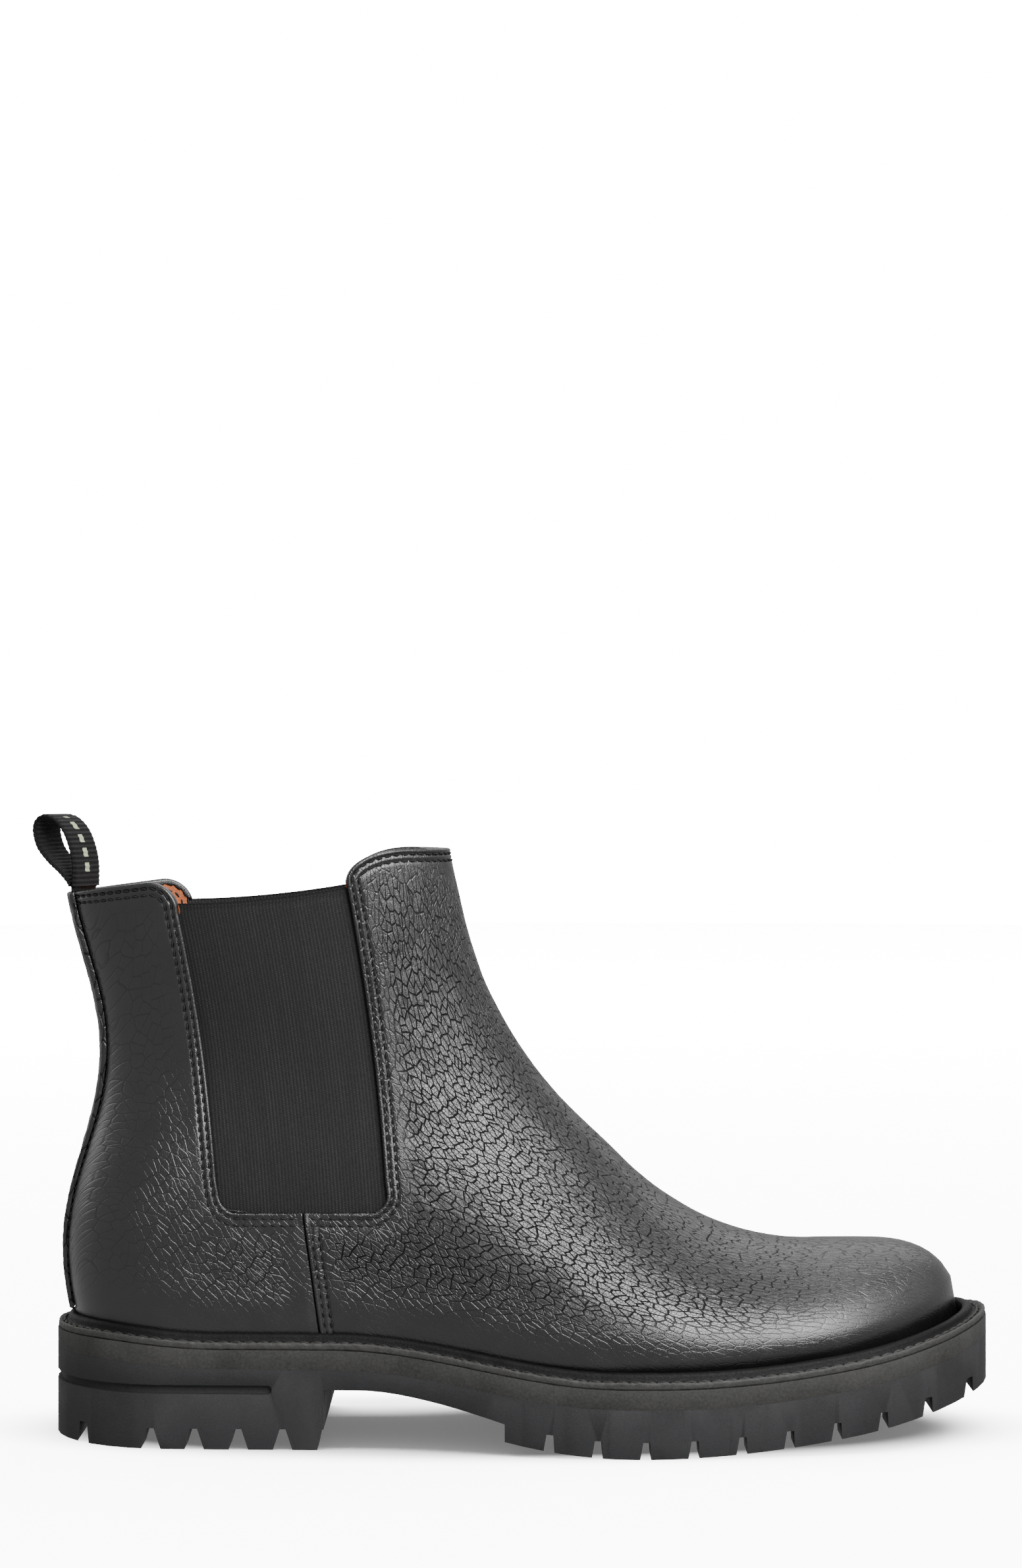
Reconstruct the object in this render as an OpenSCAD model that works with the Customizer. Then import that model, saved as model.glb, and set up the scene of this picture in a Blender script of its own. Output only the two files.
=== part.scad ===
// Chelsea boot for the right foot, +X to the toe, +Y to the inner (medial) side, +Z up.
// Every curved sheet of the upper follows one surface, worked out by surface_point().

/* [Sole] */
// How far the welt and sole stand out from the upper
welt_width = 6; // [5:0.5:7]
// Height of the seat line of the upper above the floor at the heel
seat_heel_z = 36.5; // [35:0.5:38]
// Height of the seat line at the ball of the foot
seat_ball_z = 26.5; // [26:0.5:28]
// Rise of the toe above the ball
toe_rise = 13.5; // [10:0.5:15]
// Thickness of the midsole
midsole_t = 6.2; // [5:0.1:6.5]
// Thickness of the flat flange of the welt
flange_t = 2.4; // [2:0.1:2.8]
// Depth of the lugs under the heel
heel_lug_depth = 6.6; // [4:0.1:7.5]
// Depth of the lugs under the forefoot
toe_lug_depth = 5.4; // [4:0.1:6]
// Width of the ring of lugs along the edge
edge_lug_w = 15; // [12:0.5:16]

/* [Upper] */
// Thickness of the outer leather
leather_t = 1.7; // [1.4:0.1:1.8]
// Thickness of the elastic and of the stiffeners between leather and lining
middle_t = 1; // [0.8:0.1:1.1]
// Thickness of the lining
lining_t = 1; // [0.8:0.1:1.2]
// Height of the top edge at the front
front_top_z = 192; // [188:1:196]
// Height of the top edge at the back
back_top_z = 177.5; // [175:0.5:180]
// Height of the top of the toe box
toe_box_z = 62; // [60:1:64]
// Radius of the lower corners of the elastic's window
window_r = 6; // [4:1:7]
// Height of the lower edge of the elastic's window
window_z = 75; // [73:1:77]

/* [Pull loop] */
// Width of the webbing
webbing_w = 16; // [14:1:16]
// Thickness of the webbing
webbing_t = 1.4; // [1.2:0.1:1.6]
// Turn of the loop about the upright axis
loop_turn = -12; // [-12:1:12]

/* [Hidden] */

lateral = -1;
medial = 1;
// Shift that puts the middle of the whole boot, loop included, over the origin
frame_shift = [4, 0, 0];
// Room between two layers of the upper
layer_gap = 0.4;
leather_in = leather_t;
middle_out = leather_in + layer_gap;
middle_in = middle_out + middle_t;
lining_out = middle_in + layer_gap;
lining_in = lining_out + lining_t;

// Ends of the upper at the seat line
heel_x = -147.6;
toe_x = 145.5;
toe_stand_out = 1.33;
// The seat line's heel slope starts here and ends heel_slope_run further back
heel_slope_x = 30;
heel_slope_run = 90;
// The sole turns up in front of this point
toe_spring_x = 45;
// Corners of the front profile before they are rounded: toe top, ankle, top edge
instep_low = [62, toe_box_z];
instep_high = [-11, 130.5];
shaft_top = [-24.5, front_top_z];
instep_round = 24;
toe_round = 28;
// Roundness of the sections; 2 is an ellipse, and more is boxier
section_power = 2.2;
// The upper stands this far above the midsole and below the seat line
seat_drop = 4.3;

// Half widths at the seat line, [x, half width]
lateral_widths = [[-150, 31], [-100, 32.5], [-45, 35.5], [10, 47], [50, 50], [105, 44.5], [150, 37]];
medial_widths = [[-150, 31], [-100, 31.5], [-45, 30], [10, 35], [65, 47], [110, 43], [150, 36]];
// Half widths of the shaft, [z, half width]
shaft_widths = [[40, 33], [65, 34], [90, 31.5], [120, 28.5], [150, 28], [192, 28.5]];
// The toe swings this far to the medial side
toe_swing = 5;

// Side seam from the seat line up to the window
seam_low_x = -65;
seam_high_x = -71;
// Window of the elastic: bottom and top x of its two edges, top heights and bow
rear_edge = [-98, -112.5, 174];
front_edge = [-44, -57.5, 182];
edge_bow = 1.8;
quarter_top_z = 181;
// Top corners of the panels: how far each reaches along the collar and down the window
quarter_corner = [10, 9.5];
vamp_corner = [20, 10.5];
backstay_w = 16;
gore_margin = 7;
// Room between the straight side of a window and the first point of its top corner
corner_gap = 3;

black = [0.06, 0.06, 0.065];
charcoal = [0.13, 0.13, 0.14];
tan = [0.72, 0.42, 0.24];
cream = [0.82, 0.74, 0.6];

// ---- small helpers ----
function clamp01(t) = min(1, max(0, t));
function ease(t) = let (c = clamp01(t)) c * c * (3 - 2 * c);
function mix(a, b, t) = a + (b - a) * t;
function steps(n) = [for (i = [0 : n]) i / n];
function smooth_max(a, b, r) = let (h = max(r - abs(a - b), 0)) max(a, b) + h * h / (4 * r);
function smooth_min(a, b, r) = -smooth_max(-a, -b, r);

// Smooth curve through knots [x, y]
function slope_at(k, i) =
    let (a = max(i - 1, 0), b = min(i + 1, len(k) - 1)) (k[b][1] - k[a][1]) / (k[b][0] - k[a][0]);
function span_of(k, x, i = 0) = i >= len(k) - 2 || x < k[i + 1][0] ? i : span_of(k, x, i + 1);
function curve(k, x) =
    let (
        i = span_of(k, x),
        h = k[i + 1][0] - k[i][0],
        t = clamp01((x - k[i][0]) / h),
        bend_a = slope_at(k, i) * h,
        bend_b = slope_at(k, i + 1) * h,
        rise = k[i + 1][1] - k[i][1]
    )
    k[i][1] + t * bend_a + t * t * (3 * rise - 2 * bend_a - bend_b)
        + t * t * t * (bend_a + bend_b - 2 * rise);

// Place at a fraction f of the length of a path of points
function lengths(p) = [for (i = 0, s = 0; i < len(p); s = s + (i + 1 < len(p) ? norm(p[i + 1] - p[i]) : 0),
    i = i + 1) s];
function at_length(p, run, s, i = 0) =
    i >= len(p) - 2 || s < run[i + 1]
        ? mix(p[i], p[i + 1], (s - run[i]) / (run[i + 1] - run[i]))
        : at_length(p, run, s, i + 1);
function at(p, f) = let (run = lengths(p)) at_length(p, run, f * run[len(run) - 1]);
function arc(c, r, from, to, n = 4) =
    [for (t = steps(n)) let (a = mix(from, to, t)) [c[0] + r[0] * cos(a), c[1] + r[1] * sin(a)]];

// ---- the surface of the upper ----
// Height of the seat line, where the upper meets the welt
function seat_z(x) =
    seat_ball_z
        + (seat_heel_z - seat_ball_z) * ease((heel_slope_x - x) / heel_slope_run)
        + toe_rise * pow(max(0, x - toe_spring_x) / 100, 2)
        + 2.5 * ease((-100 - x) / 40);

// Back profile: out over the heel, in at the ankle, out at the collar
function back_x(z) = -145 - 6 * cos((z - 60) / 65 * 180);

// Distance inside the straight run from a to b of the front profile
function inside(p, a, b) = let (u = (b - a) / norm(b - a)) (p - a) * [u[1], -u[0]];
function front_distance(x, z) =
    let (
        p = [x, z],
        shaft = inside(p, shaft_top, instep_high),
        instep = inside(p, instep_high, instep_low),
        top = toe_box_z - z,
        over = smooth_max(smooth_max(shaft, instep, instep_round), top, instep_round)
    )
    smooth_min(over, toe_x - x, toe_round);

function seat_half(x, side) = curve(side == lateral ? lateral_widths : medial_widths, x);
function half_width(x, z, side) =
    mix(seat_half(x, side), curve(shaft_widths, z), ease((z - seat_z(x) - 8) / 62));
function middle_y(x) = toe_swing * ease((x - 10) / 140);
function rounding(d, r) = 1 - pow(1 - clamp01(d / r), section_power);
function front_reach(x) = x > 70 ? 36 + 10 * ease((x - 90) / 50) : mix(36, 60, ease((70 - x) / 110));
function back_reach(z) = mix(35, 60, ease((z - 70) / 80));
function section(x, z) =
    rounding(front_distance(x, z), front_reach(x)) * rounding(x - back_x(z), back_reach(z));

// The surface is where this is 0, and inside it is below 0
function implicit(x, y, z, side) =
    pow((y - middle_y(x)) / half_width(x, z, side), 2) - section(x, z);
function surface_normal(x, y, z, side) =
    let (
        h = 0.3,
        g = [
            implicit(x + h, y, z, side) - implicit(x - h, y, z, side),
            implicit(x, y + h, z, side) - implicit(x, y - h, z, side),
            implicit(x, y, z + h, side) - implicit(x, y, z - h, side)
        ]
    )
    g / norm(g);
// Point of the upper at x, z on one side, moved inward by depth
function surface_point(x, z, side, depth = 0) =
    let (
        y = middle_y(x) + side * half_width(x, z, side) * sqrt(max(0, section(x, z))),
        p = [x, y, z]
    )
    depth == 0 ? p : p - depth * surface_normal(x, y, z, side);

// Moves a point near the front profile onto it
function onto_front(p, tries = 5) =
    tries == 0 ? p
        : let (
            h = 0.2,
            d = front_distance(p[0], p[1]),
            g = [
                front_distance(p[0] + h, p[1]) - front_distance(p[0] - h, p[1]),
                front_distance(p[0], p[1] + h) - front_distance(p[0], p[1] - h)
            ] / (2 * h)
        )
        onto_front(p - g * d / (g * g), tries - 1);
front_path = [[toe_x, seat_z(toe_x) - seat_drop], [toe_x, toe_box_z], instep_low, instep_high, shaft_top];
function front_at(f) = onto_front(at(front_path, f));
function back_at(f) =
    let (z = mix(seat_z(heel_x) - seat_drop, back_top_z, f)) [back_x(z), z];

// ---- edges of the panels, as paths of [x, z] ----
// grow widens the window, so a path can run beside its edge
function edge_x(edge, z) =
    let (t = clamp01((z - window_z) / (edge[2] - window_z)))
    mix(edge[0], edge[1], t) + edge_bow * 4 * t * (1 - t);
function seam_path(n = 17, power = 1.8) = [
    for (t = steps(n))
    let (f = pow(t, power), x = mix(seam_low_x, seam_high_x, f))
    [x, mix(seat_z(seam_low_x) - seat_drop, window_z, f)]
];
function rear_window(grow = 0, top = 174) =
    let (r = window_r + grow, c = [rear_edge[0] - grow + r, window_z - grow + r])
    concat(
        [[seam_high_x, window_z - grow], [mix(seam_high_x, c[0], 0.5), window_z - grow]],
        arc(c, [r, r], 270, 185),
        [for (t = steps(8)) let (z = mix(c[1] + 4, top, t)) [edge_x(rear_edge, z) - grow, z]]
    );
function front_window(grow = 0, top = 182) =
    let (r = window_r + grow, c = [front_edge[0] + grow - r, window_z - grow + r])
    concat(
        [[seam_high_x, window_z - grow], [mix(seam_high_x, c[0], 0.5), window_z - grow]],
        arc(c, [r, r], -90, -5),
        [for (t = steps(9)) let (z = mix(c[1] + 4, top, t)) [edge_x(front_edge, z) + grow, z]]
    );
function tail(p, from) = [for (i = [from : len(p) - 1]) p[i]];
// Top corner of a panel, grow inside it, from the window to the collar
function rear_corner(grow = 0) =
    let (z = quarter_top_z - quarter_corner[1])
    arc([edge_x(rear_edge, z) - quarter_corner[0], z], quarter_corner - [grow, grow], 0, 90, 6);
function front_corner(grow = 0) =
    let (z = front_top_z - vamp_corner[1])
    arc([edge_x(front_edge, z) + vamp_corner[0], z], vamp_corner - [grow, grow], 180, 90, 7);
function quarter_edge() =
    concat(
        seam_path(9, 1),
        tail(rear_window(0, quarter_top_z - quarter_corner[1] - corner_gap), 1),
        rear_corner()
    );
function vamp_edge() =
    concat(
        seam_path(),
        tail(front_window(0, front_top_z - vamp_corner[1] - corner_gap), 1),
        front_corner()
    );

// ---- sheets ----
// A row runs from the centre line, centre[i], to the panel's edge, edge[i]. Low rows follow the
// seat line, and columns crowd at the centre line, where the surface turns.
function seat_fix(a, b, t) = let (p = mix(a, b, t)) seat_z(p[0]) - mix(seat_z(a[0]), seat_z(b[0]), t);
function row_point(centre, edge, i, s, from, settle) =
    let (
        f = i / (len(edge) - 1),
        t = from + (1 - from) * (1 - cos(90 * s))
    )
    mix(centre[i], edge[i], t) + [0, seat_fix(centre[0], edge[0], t) * pow(1 - f, settle)];
// Grid of 3-D points over a half panel
function half_grid(centre, edge, side, depth, cols, from = 0, settle = 5) = [
    for (i = [0 : len(edge) - 1])
    [for (s = steps(cols))
        let (p = row_point(centre, edge, i, s, from, settle))
        surface_point(p[0], p[1], side, depth)]
];
function backwards(p) = [for (i = [len(p) - 1 : -1 : 0]) p[i]];
// Both halves in one sheet, lateral edge to medial edge
function full_grid(centre, edge, depth, cols, settle = 5) =
    let (
        a = half_grid(centre, edge, lateral, depth, cols, 0, settle),
        b = half_grid(centre, edge, medial, depth, cols, 0, settle)
    )
    [for (i = [0 : len(edge) - 1]) concat(backwards(a[i]), tail(b[i], 1))];

// Closed shell between an outer and an inner grid of points
module shell(outer, inner, flip = false) {
    rows = len(outer);
    cols = len(outer[0]);
    points = concat([for (r = outer) each r], [for (r = inner) each r]);
    function id(r, c, layer) = (layer * rows + r) * cols + c;
    function cell(a, b, c, d) = [[a, b, c], [a, c, d]];
    skins = [
        for (r = [0 : rows - 2], c = [0 : cols - 2])
        each concat(
            cell(id(r, c, 0), id(r + 1, c, 0), id(r + 1, c + 1, 0), id(r, c + 1, 0)),
            cell(id(r, c, 1), id(r, c + 1, 1), id(r + 1, c + 1, 1), id(r + 1, c, 1))
        )
    ];
    ends = [
        for (c = [0 : cols - 2])
        each concat(
            cell(id(0, c, 0), id(0, c + 1, 0), id(0, c + 1, 1), id(0, c, 1)),
            cell(id(rows - 1, c, 0), id(rows - 1, c, 1), id(rows - 1, c + 1, 1), id(rows - 1, c + 1, 0))
        )
    ];
    sides = [
        for (r = [0 : rows - 2])
        each concat(
            cell(id(r, 0, 0), id(r, 0, 1), id(r + 1, 0, 1), id(r + 1, 0, 0)),
            cell(id(r, cols - 1, 0), id(r + 1, cols - 1, 0), id(r + 1, cols - 1, 1), id(r, cols - 1, 1))
        )
    ];
    faces = concat(skins, ends, sides);
    polyhedron(points, flip ? [for (f = faces) backwards(f)] : faces);
}

// Front sheet over both sides, such as the vamp or its lining
module front_sheet(edge, out, inn, top = 1, cols = 17) {
    run = lengths(edge);
    centre = [for (s = run) front_at(top * pow(s / run[len(run) - 1], 1 / 1.8))];
    shell(full_grid(centre, edge, out, cols), full_grid(centre, edge, inn, cols));
}
// Rear sheet on one side; clear is its distance from the centre line, as a part of its width
module rear_sheet(edge, side, out, inn, bottom = 0, top = 1, clear = 0.0006, cols = 9) {
    run = lengths(edge);
    centre = [for (s = run) back_at(mix(bottom, top, s / run[len(run) - 1]))];
    shell(
        half_grid(centre, edge, side, out, cols, clear, 8),
        half_grid(centre, edge, side, inn, cols, clear, 8),
        side == medial
    );
}

// ---- outlines of the sole, seen from above; the sole stands out more at the toe ----
function outline_toe(grow) = toe_x + grow * toe_stand_out;
function outline_half(x, side, grow) =
    (seat_half(x, side) + grow)
        * sqrt(rounding(x - heel_x + grow, 35 + grow) * rounding(outline_toe(grow) - x, 46 + grow));
function outline_side(side, grow, n) = [
    for (t = steps(n))
    let (x = mix(heel_x - grow, outline_toe(grow), (1 - cos(180 * t)) / 2))
    [x, middle_y(x) + side * outline_half(x, side, grow)]
];
function outline(grow, n = 36) =
    let (a = outline_side(lateral, grow, n), b = backwards(outline_side(medial, grow, n)))
    concat(a, [for (i = [1 : n - 1]) b[i]]);
module plan(grow) { linear_extrude(260) polygon(outline(grow)); }
module ring(grow_out, grow_in) {
    linear_extrude(260)
        difference() {
            polygon(outline(grow_out));
            polygon(outline(grow_in));
        }
}
// Slab whose lower and upper faces follow the seat line, low and high above it
module seat_slab(low, high, x0 = -160, x1 = 160, n = 32, half = 80) {
    xs = [for (t = steps(n)) mix(x0, x1, t)];
    rotate([90, 0, 0])
        linear_extrude(2 * half, center = true)
            polygon(concat(
                [for (x = xs) [x, seat_z(x) + low]],
                [for (x = backwards(xs)) [x, seat_z(x) + high]]
            ));
}
module seat_part(grow, low, high) {
    intersection() {
        plan(grow);
        seat_slab(low, high);
    }
}

// ---- sole ----
midsole_top = -4.7;
midsole_bottom = midsole_top - midsole_t;
sole_grow = welt_width + 0.4;
breast_x = -64;
breast_chamfer = [2, 10];
waist_x = -6;
waist_top_z = 19.2;
waist_drop = 9;
groove_z = [17.7, 20.5];
groove_end_x = -82;
// The tread touches the ground here and curves up to both ends
touch_x = 36;

function tread_z(x) =
    x < touch_x ? 4.4 * pow((touch_x - x) / 41, 2) : 15 * pow((x - touch_x) / 112, 2);
function waist_z(x) = waist_top_z - waist_drop * pow(clamp01((x + 50) / 44), 1.5);
// Notches in the edge between the lugs: [x of the middle, width at the top, lean of each flank]
heel_notches = [
    [-142.5, 2.6, 0.8, 0.6], [-119.6, 2.1, 2, 2.2], [-105.6, 2.1, 2, 2.2], [-91.4, 2.1, 2, 2.2],
    [-77.2, 2.1, 2, 2.2]
];
toe_notches = [for (i = [0 : 9]) [8.3 + 15.25 * i, 2.2, 1, 0.3]];

module side_solid(points, half = 80) {
    rotate([90, 0, 0]) linear_extrude(2 * half, center = true) polygon(points);
}
module notch(n, foot, top) {
    half = n[1] / 2;
    side_solid([
        [n[0] - half - n[2] * 1.3, foot - 2], [n[0] - half, top], [n[0] + half, top],
        [n[0] + half + n[3] * 1.3, foot - 2]
    ]);
}
module lug_side(notched) {
    xs = [for (t = steps(28)) mix(waist_x, 158, t)];
    top = heel_lug_depth + 0.2;
    difference() {
        union() {
            side_solid([[-160, 0], [breast_x - breast_chamfer[0], 0], [breast_x, breast_chamfer[1]],
                [breast_x, top + 6], [-160, top + 6]]);
            side_solid(concat(
                [for (x = xs) [x, tread_z(x)]],
                [for (x = backwards(xs)) [x, tread_z(x) + toe_lug_depth + 0.2]]
            ));
        }
        if (notched) {
            for (n = heel_notches)
                notch(n, 0, heel_lug_depth);
            for (n = toe_notches)
                notch(n, tread_z(n[0]), tread_z(n[0]) + toe_lug_depth);
        }
    }
}
// Body of the sole above the lugs
module web_side() {
    xs = [for (t = steps(32)) mix(-160, 160, t)];
    mid_xs = [for (t = steps(12)) mix(breast_x, waist_x, t)];
    toe_xs = [for (t = steps(24)) mix(waist_x + 1, 160, t)];
    side_solid(concat(
        [[-160, heel_lug_depth], [breast_x - 0.01, heel_lug_depth]],
        [for (x = mid_xs) [x, waist_z(x)]],
        [for (x = toe_xs) [x, tread_z(x) + toe_lug_depth]],
        [for (x = backwards(xs)) [x, seat_z(x) + midsole_bottom]]
    ));
}
// Lugs inside the edge ring: two rows of arrows under the forefoot and bars under the heel
module inner_lugs() {
    for (i = [0 : 5], side = [lateral, medial])
        let (x = 12 + 17 * i, reach = i < 5 ? 1 : 0.75)
        translate([x, middle_y(x) + side * 14 * reach, 0])
            linear_extrude(60)
                polygon([[-5, -9], [3, -11], [7, 0], [3, 11], [-5, 9], [-2, 0]] * reach);
    for (x = [-130, -115, -100, -85])
        translate([x, 0, 0])
            linear_extrude(60)
                polygon([[-4, -14], [3, -14], [5.5, 0], [3, 14], [-4, 14], [-1.5, 0]]);
}
module outsole() {
    color(charcoal)
        difference() {
            union() {
                intersection() {
                    plan(sole_grow);
                    web_side();
                }
                intersection() {
                    ring(sole_grow, sole_grow - edge_lug_w);
                    lug_side(true);
                }
                intersection() {
                    inner_lugs();
                    lug_side(false);
                }
            }
            heel_groove();
        }
}
// Moulded line round the side of the heel
module heel_groove() {
    mid = (groove_z[0] + groove_z[1]) / 2;
    r = (groove_z[1] - groove_z[0]) / 2;
    intersection() {
        ring(sole_grow + 3, sole_grow - 1.4);
        union() {
            side_solid([[-170, groove_z[0]], [groove_end_x, groove_z[0]], [groove_end_x, groove_z[1]],
                [-170, groove_z[1]]]);
            translate([groove_end_x, 0, mid]) rotate([90, 0, 0]) cylinder(h = 160, r = r, center = true, $fn = 32);
        }
    }
}
module midsole() { color([0.16, 0.14, 0.13]) seat_part(sole_grow, midsole_bottom, midsole_top); }
// Flat flange with an upright bead along the upper
module storm_welt() {
    color(black)
        union() {
            intersection() {
                ring(welt_width, 0.35);
                seat_slab(midsole_top, midsole_top + flange_t);
            }
            intersection() {
                ring(2.9, 0.35);
                seat_slab(midsole_top + flange_t, 0);
            }
        }
}
module insole_rib() {
    color(cream)
        intersection() {
            ring(-8.6, -10);
            seat_slab(midsole_top + 0.1, -2.5);
        }
}
module cork_filler() {
    color([0.6, 0.42, 0.26])
        difference() {
            seat_part(-10.3, midsole_top + 0.1, -2.7);
            translate([-95, -9, 0]) cube([92, 18, 60]);
        }
}
module shank() {
    color("silver")
        intersection() {
            translate([-94, -8, 0]) cube([90, 16, 60]);
            seat_slab(midsole_top + 0.2, -3.1);
        }
}
insole_grow = -lining_in - 2.1;
module insole_board() { color([0.7, 0.55, 0.38]) seat_part(insole_grow, -2.4, -0.4); }
pad_front_x = -72;
pad_t = 3;
module heel_pad() {
    color([0.85, 0.82, 0.75])
        intersection() {
            seat_part(insole_grow - 3, -0.3, -0.3 + pad_t);
            translate([-160, -60, 0]) cube([pad_front_x + 160, 120, 80]);
        }
}
module sock_liner() {
    xs = [for (t = steps(40)) mix(-160, 160, t)];
    function sock_z(x) = seat_z(x) + (pad_t + 0.3) * ease((pad_front_x + 14 - x) / 12 + 1) - 0.3;
    color(tan)
        intersection() {
            plan(insole_grow);
            side_solid(concat([for (x = xs) [x, sock_z(x)]], [for (x = backwards(xs)) [x, sock_z(x) + 1.3]]));
        }
}

// ---- leather and lining ----
module vamp() { color(black) front_sheet(vamp_edge(), 0, leather_in); }
module quarter(side) {
    color(black) rear_sheet(quarter_edge(), side, 0, leather_in);
}
module quarter_lateral() { quarter(lateral); }
module quarter_medial() { quarter(medial); }
// Strip over the back seam
module backstay() {
    centre = [for (t = steps(20)) back_at(mix(0.04, 1, t))];
    edge = [for (p = centre) p + [strip_depth(p[1]), 0]];
    outer = full_grid(centre, edge, -leather_t + 0.2, 6);
    inner = full_grid(centre, edge, -0.25, 6);
    color(black) shell(outer, inner, true);
}
// How far forward of the back profile a point lies that is half to one side of the back seam
function strip_depth(z, half = backstay_w / 2) =
    let (r = back_reach(z), w = curve(shaft_widths, z))
    r * (1 - pow(1 - pow(half / w, 2), 1 / section_power));

// ---- elastic gores, with a margin hidden under the leather ----
module gore(side) {
    zs = [for (t = steps(14)) mix(window_z - gore_margin, rear_edge[2], t)];
    function top_lift(t) = (front_edge[2] - 1 - rear_edge[2]) * t * t;
    grid = [for (i = [0 : 14]) [for (t = steps(10))
        let (z = zs[i] + top_lift(t) * pow(i / 14, 2),
            a = edge_x(rear_edge, z) - gore_margin,
            b = edge_x(front_edge, z) + gore_margin)
        [mix(a, b, t), z]]];
    function layer(depth) = [for (row = grid) [for (p = row) surface_point(p[0], p[1], side, depth)]];
    color(charcoal) shell(layer(middle_out), layer(middle_in), side == medial);
}
module gore_lateral() { gore(lateral); }
module gore_medial() { gore(medial); }

// ---- stiffeners between leather and lining ----
module toe_puff() {
    out = middle_out + 0.25;
    inn = middle_in + 0.15;
    rows = steps(12);
    edge = [for (t = rows) [mix(88, 84, t), mix(seat_z(88) - seat_drop + 0.2, toe_box_z - 5, t)]];
    centre = [for (t = rows) front_at(0.02 + 0.3 * t)];
    color(cream) shell(full_grid(centre, edge, out, 16), full_grid(centre, edge, inn, 16));
}
module heel_counter() {
    top_z = window_z - gore_margin - 1.5;
    edge = [for (t = steps(12)) [-88 - 14 * t * t, mix(seat_z(-88) - seat_drop, top_z, pow(t, 0.8))]];
    centre = [for (t = steps(12)) back_at(0.36 * t)];
    color(cream)
        shell(full_grid(centre, edge, middle_out, 9), full_grid(centre, edge, middle_in, 9), true);
}
module vamp_lining() { color(tan) front_sheet(vamp_edge(), lining_out, lining_in, 0.997); }
module quarter_lining(side) { color(tan) rear_sheet(quarter_edge(), side, lining_out, lining_in, 0.004, 0.995); }
module quarter_lining_lateral() { quarter_lining(lateral); }
module quarter_lining_medial() { quarter_lining(medial); }
// Soft strip over the back seam inside
module heel_grip() {
    centre = [for (f = steps(16)) back_at(0.1 + 0.84 * f)];
    edge = [for (i = [0 : 16]) centre[i] + [24 - 8 * i / 16, 0]];
    grid_out = lining_in + 0.35;
    color([0.62, 0.38, 0.22])
        shell(full_grid(centre, edge, grid_out, 6, 40), full_grid(centre, edge, grid_out + 0.9, 6, 40), true);
}

// ---- stitches ----
thread_r = 0.35;
stitch_gap = 0.75;
module thread(a, b, r = thread_r) {
    v = b - a;
    translate(a) rotate([0, acos(v[2] / norm(v)), atan2(v[1], v[0])]) cylinder(h = norm(v), r = r, $fn = 16);
}
// Row of stitches on the leather along a path of [x, z]
module stitch_row(path, side, pitch = 4.2, depth = -thread_r - 0.08) {
    run = lengths(path);
    total = run[len(run) - 1];
    n = floor(total / pitch);
    for (i = [0 : n - 1])
        let (
            a = at_length(path, run, total * (i + 0.12) / n),
            b = at_length(path, run, total * (i + 0.12 + stitch_gap) / n)
        )
        thread(surface_point(a[0], a[1], side, depth), surface_point(b[0], b[1], side, depth));
}
row_first = 1.9;
row_second = 4.1;
module window_stitches(side) {
    color([0.02, 0.02, 0.02])
        for (m = [row_first, row_second]) {
            stitch_row(concat(
                tail(rear_window(m, quarter_top_z - quarter_corner[1] - corner_gap), 1),
                rear_corner(m)
            ), side);
            stitch_row(concat(
                tail(front_window(m, front_top_z - vamp_corner[1] - corner_gap), 1),
                front_corner(m)
            ), side);
        }
}
module window_stitches_lateral() { window_stitches(lateral); }
module window_stitches_medial() { window_stitches(medial); }
// Rows along the top edge, from the corner of each panel to the middle of the boot
module collar_stitches() {
    front_x = shaft_top[0] - 1.5;
    rear_x = back_x(back_top_z) + 6;
    color([0.02, 0.02, 0.02])
        for (side = [lateral, medial], m = [row_first, row_second]) {
            rear_start = tail(rear_corner(m), 6)[0];
            front_start = tail(front_corner(m), 7)[0];
            drop = quarter_top_z - back_top_z;
            stitch_row([for (t = steps(4)) [mix(rear_start[0] - 1, rear_x, t), rear_start[1] - drop * t]], side);
            stitch_row(
                [for (t = steps(3)) [mix(front_start[0] + 1, front_x - m / 4, t), front_start[1]]],
                side,
                depth = -thread_r - 0.3
            );
        }
}
// Rows beside the side seam, where the front panel laps over the rear one
module side_seam_stitches() {
    color([0.02, 0.02, 0.02])
        for (side = [lateral, medial], m = [row_first, row_second])
            stitch_row([for (t = steps(6))
                [mix(seam_high_x, seam_low_x, t) + m, mix(window_z - 8, seat_z(seam_low_x) + 2.5, t)]
            ], side, depth = -thread_r - 0.3);
}
module backstay_stitches() {
    color([0.02, 0.02, 0.02])
        for (side = [lateral, medial])
            stitch_row([
                for (t = steps(16))
                let (z = mix(46, 172, t))
                [back_x(z) + strip_depth(z, backstay_w / 2 + row_first), z]
            ], side);
}
// Lock stitches of the welt, standing on its flange
module welt_stitches() {
    grow = 4.4;
    z0 = midsole_top + flange_t + thread_r + 0.05;
    color([0.1, 0.1, 0.1])
        for (side = [lateral, medial]) {
            flat = outline_side(side, grow, 60);
            path = [for (p = flat) [p[0], p[1], seat_z(p[0]) + z0]];
            run = lengths(path);
            total = run[len(run) - 1];
            n = 84;
            for (i = [0 : n - 1])
                thread(at_length(path, run, total * (i + 0.15) / n), at_length(path, run, total * (i + 0.8) / n));
        }
}

// ---- pull loop: webbing that swings about the top of the back seam ----
hinge = [-145.7, 179.8];
// Middle line of the webbing, [x, z] from the hinge: up the front strand and down the rear one
loop_path = [
    [0.75, 0], [0.6, 6.5], [-0.7, 12.5], [-3.2, 18], [-6.8, 21.6], [-10.8, 22.6], [-13.5, 20.9],
    [-14.3, 17.3], [-12.8, 12.2], [-9, 7.8], [-4.4, 4], [-0.75, 0]
];
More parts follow.
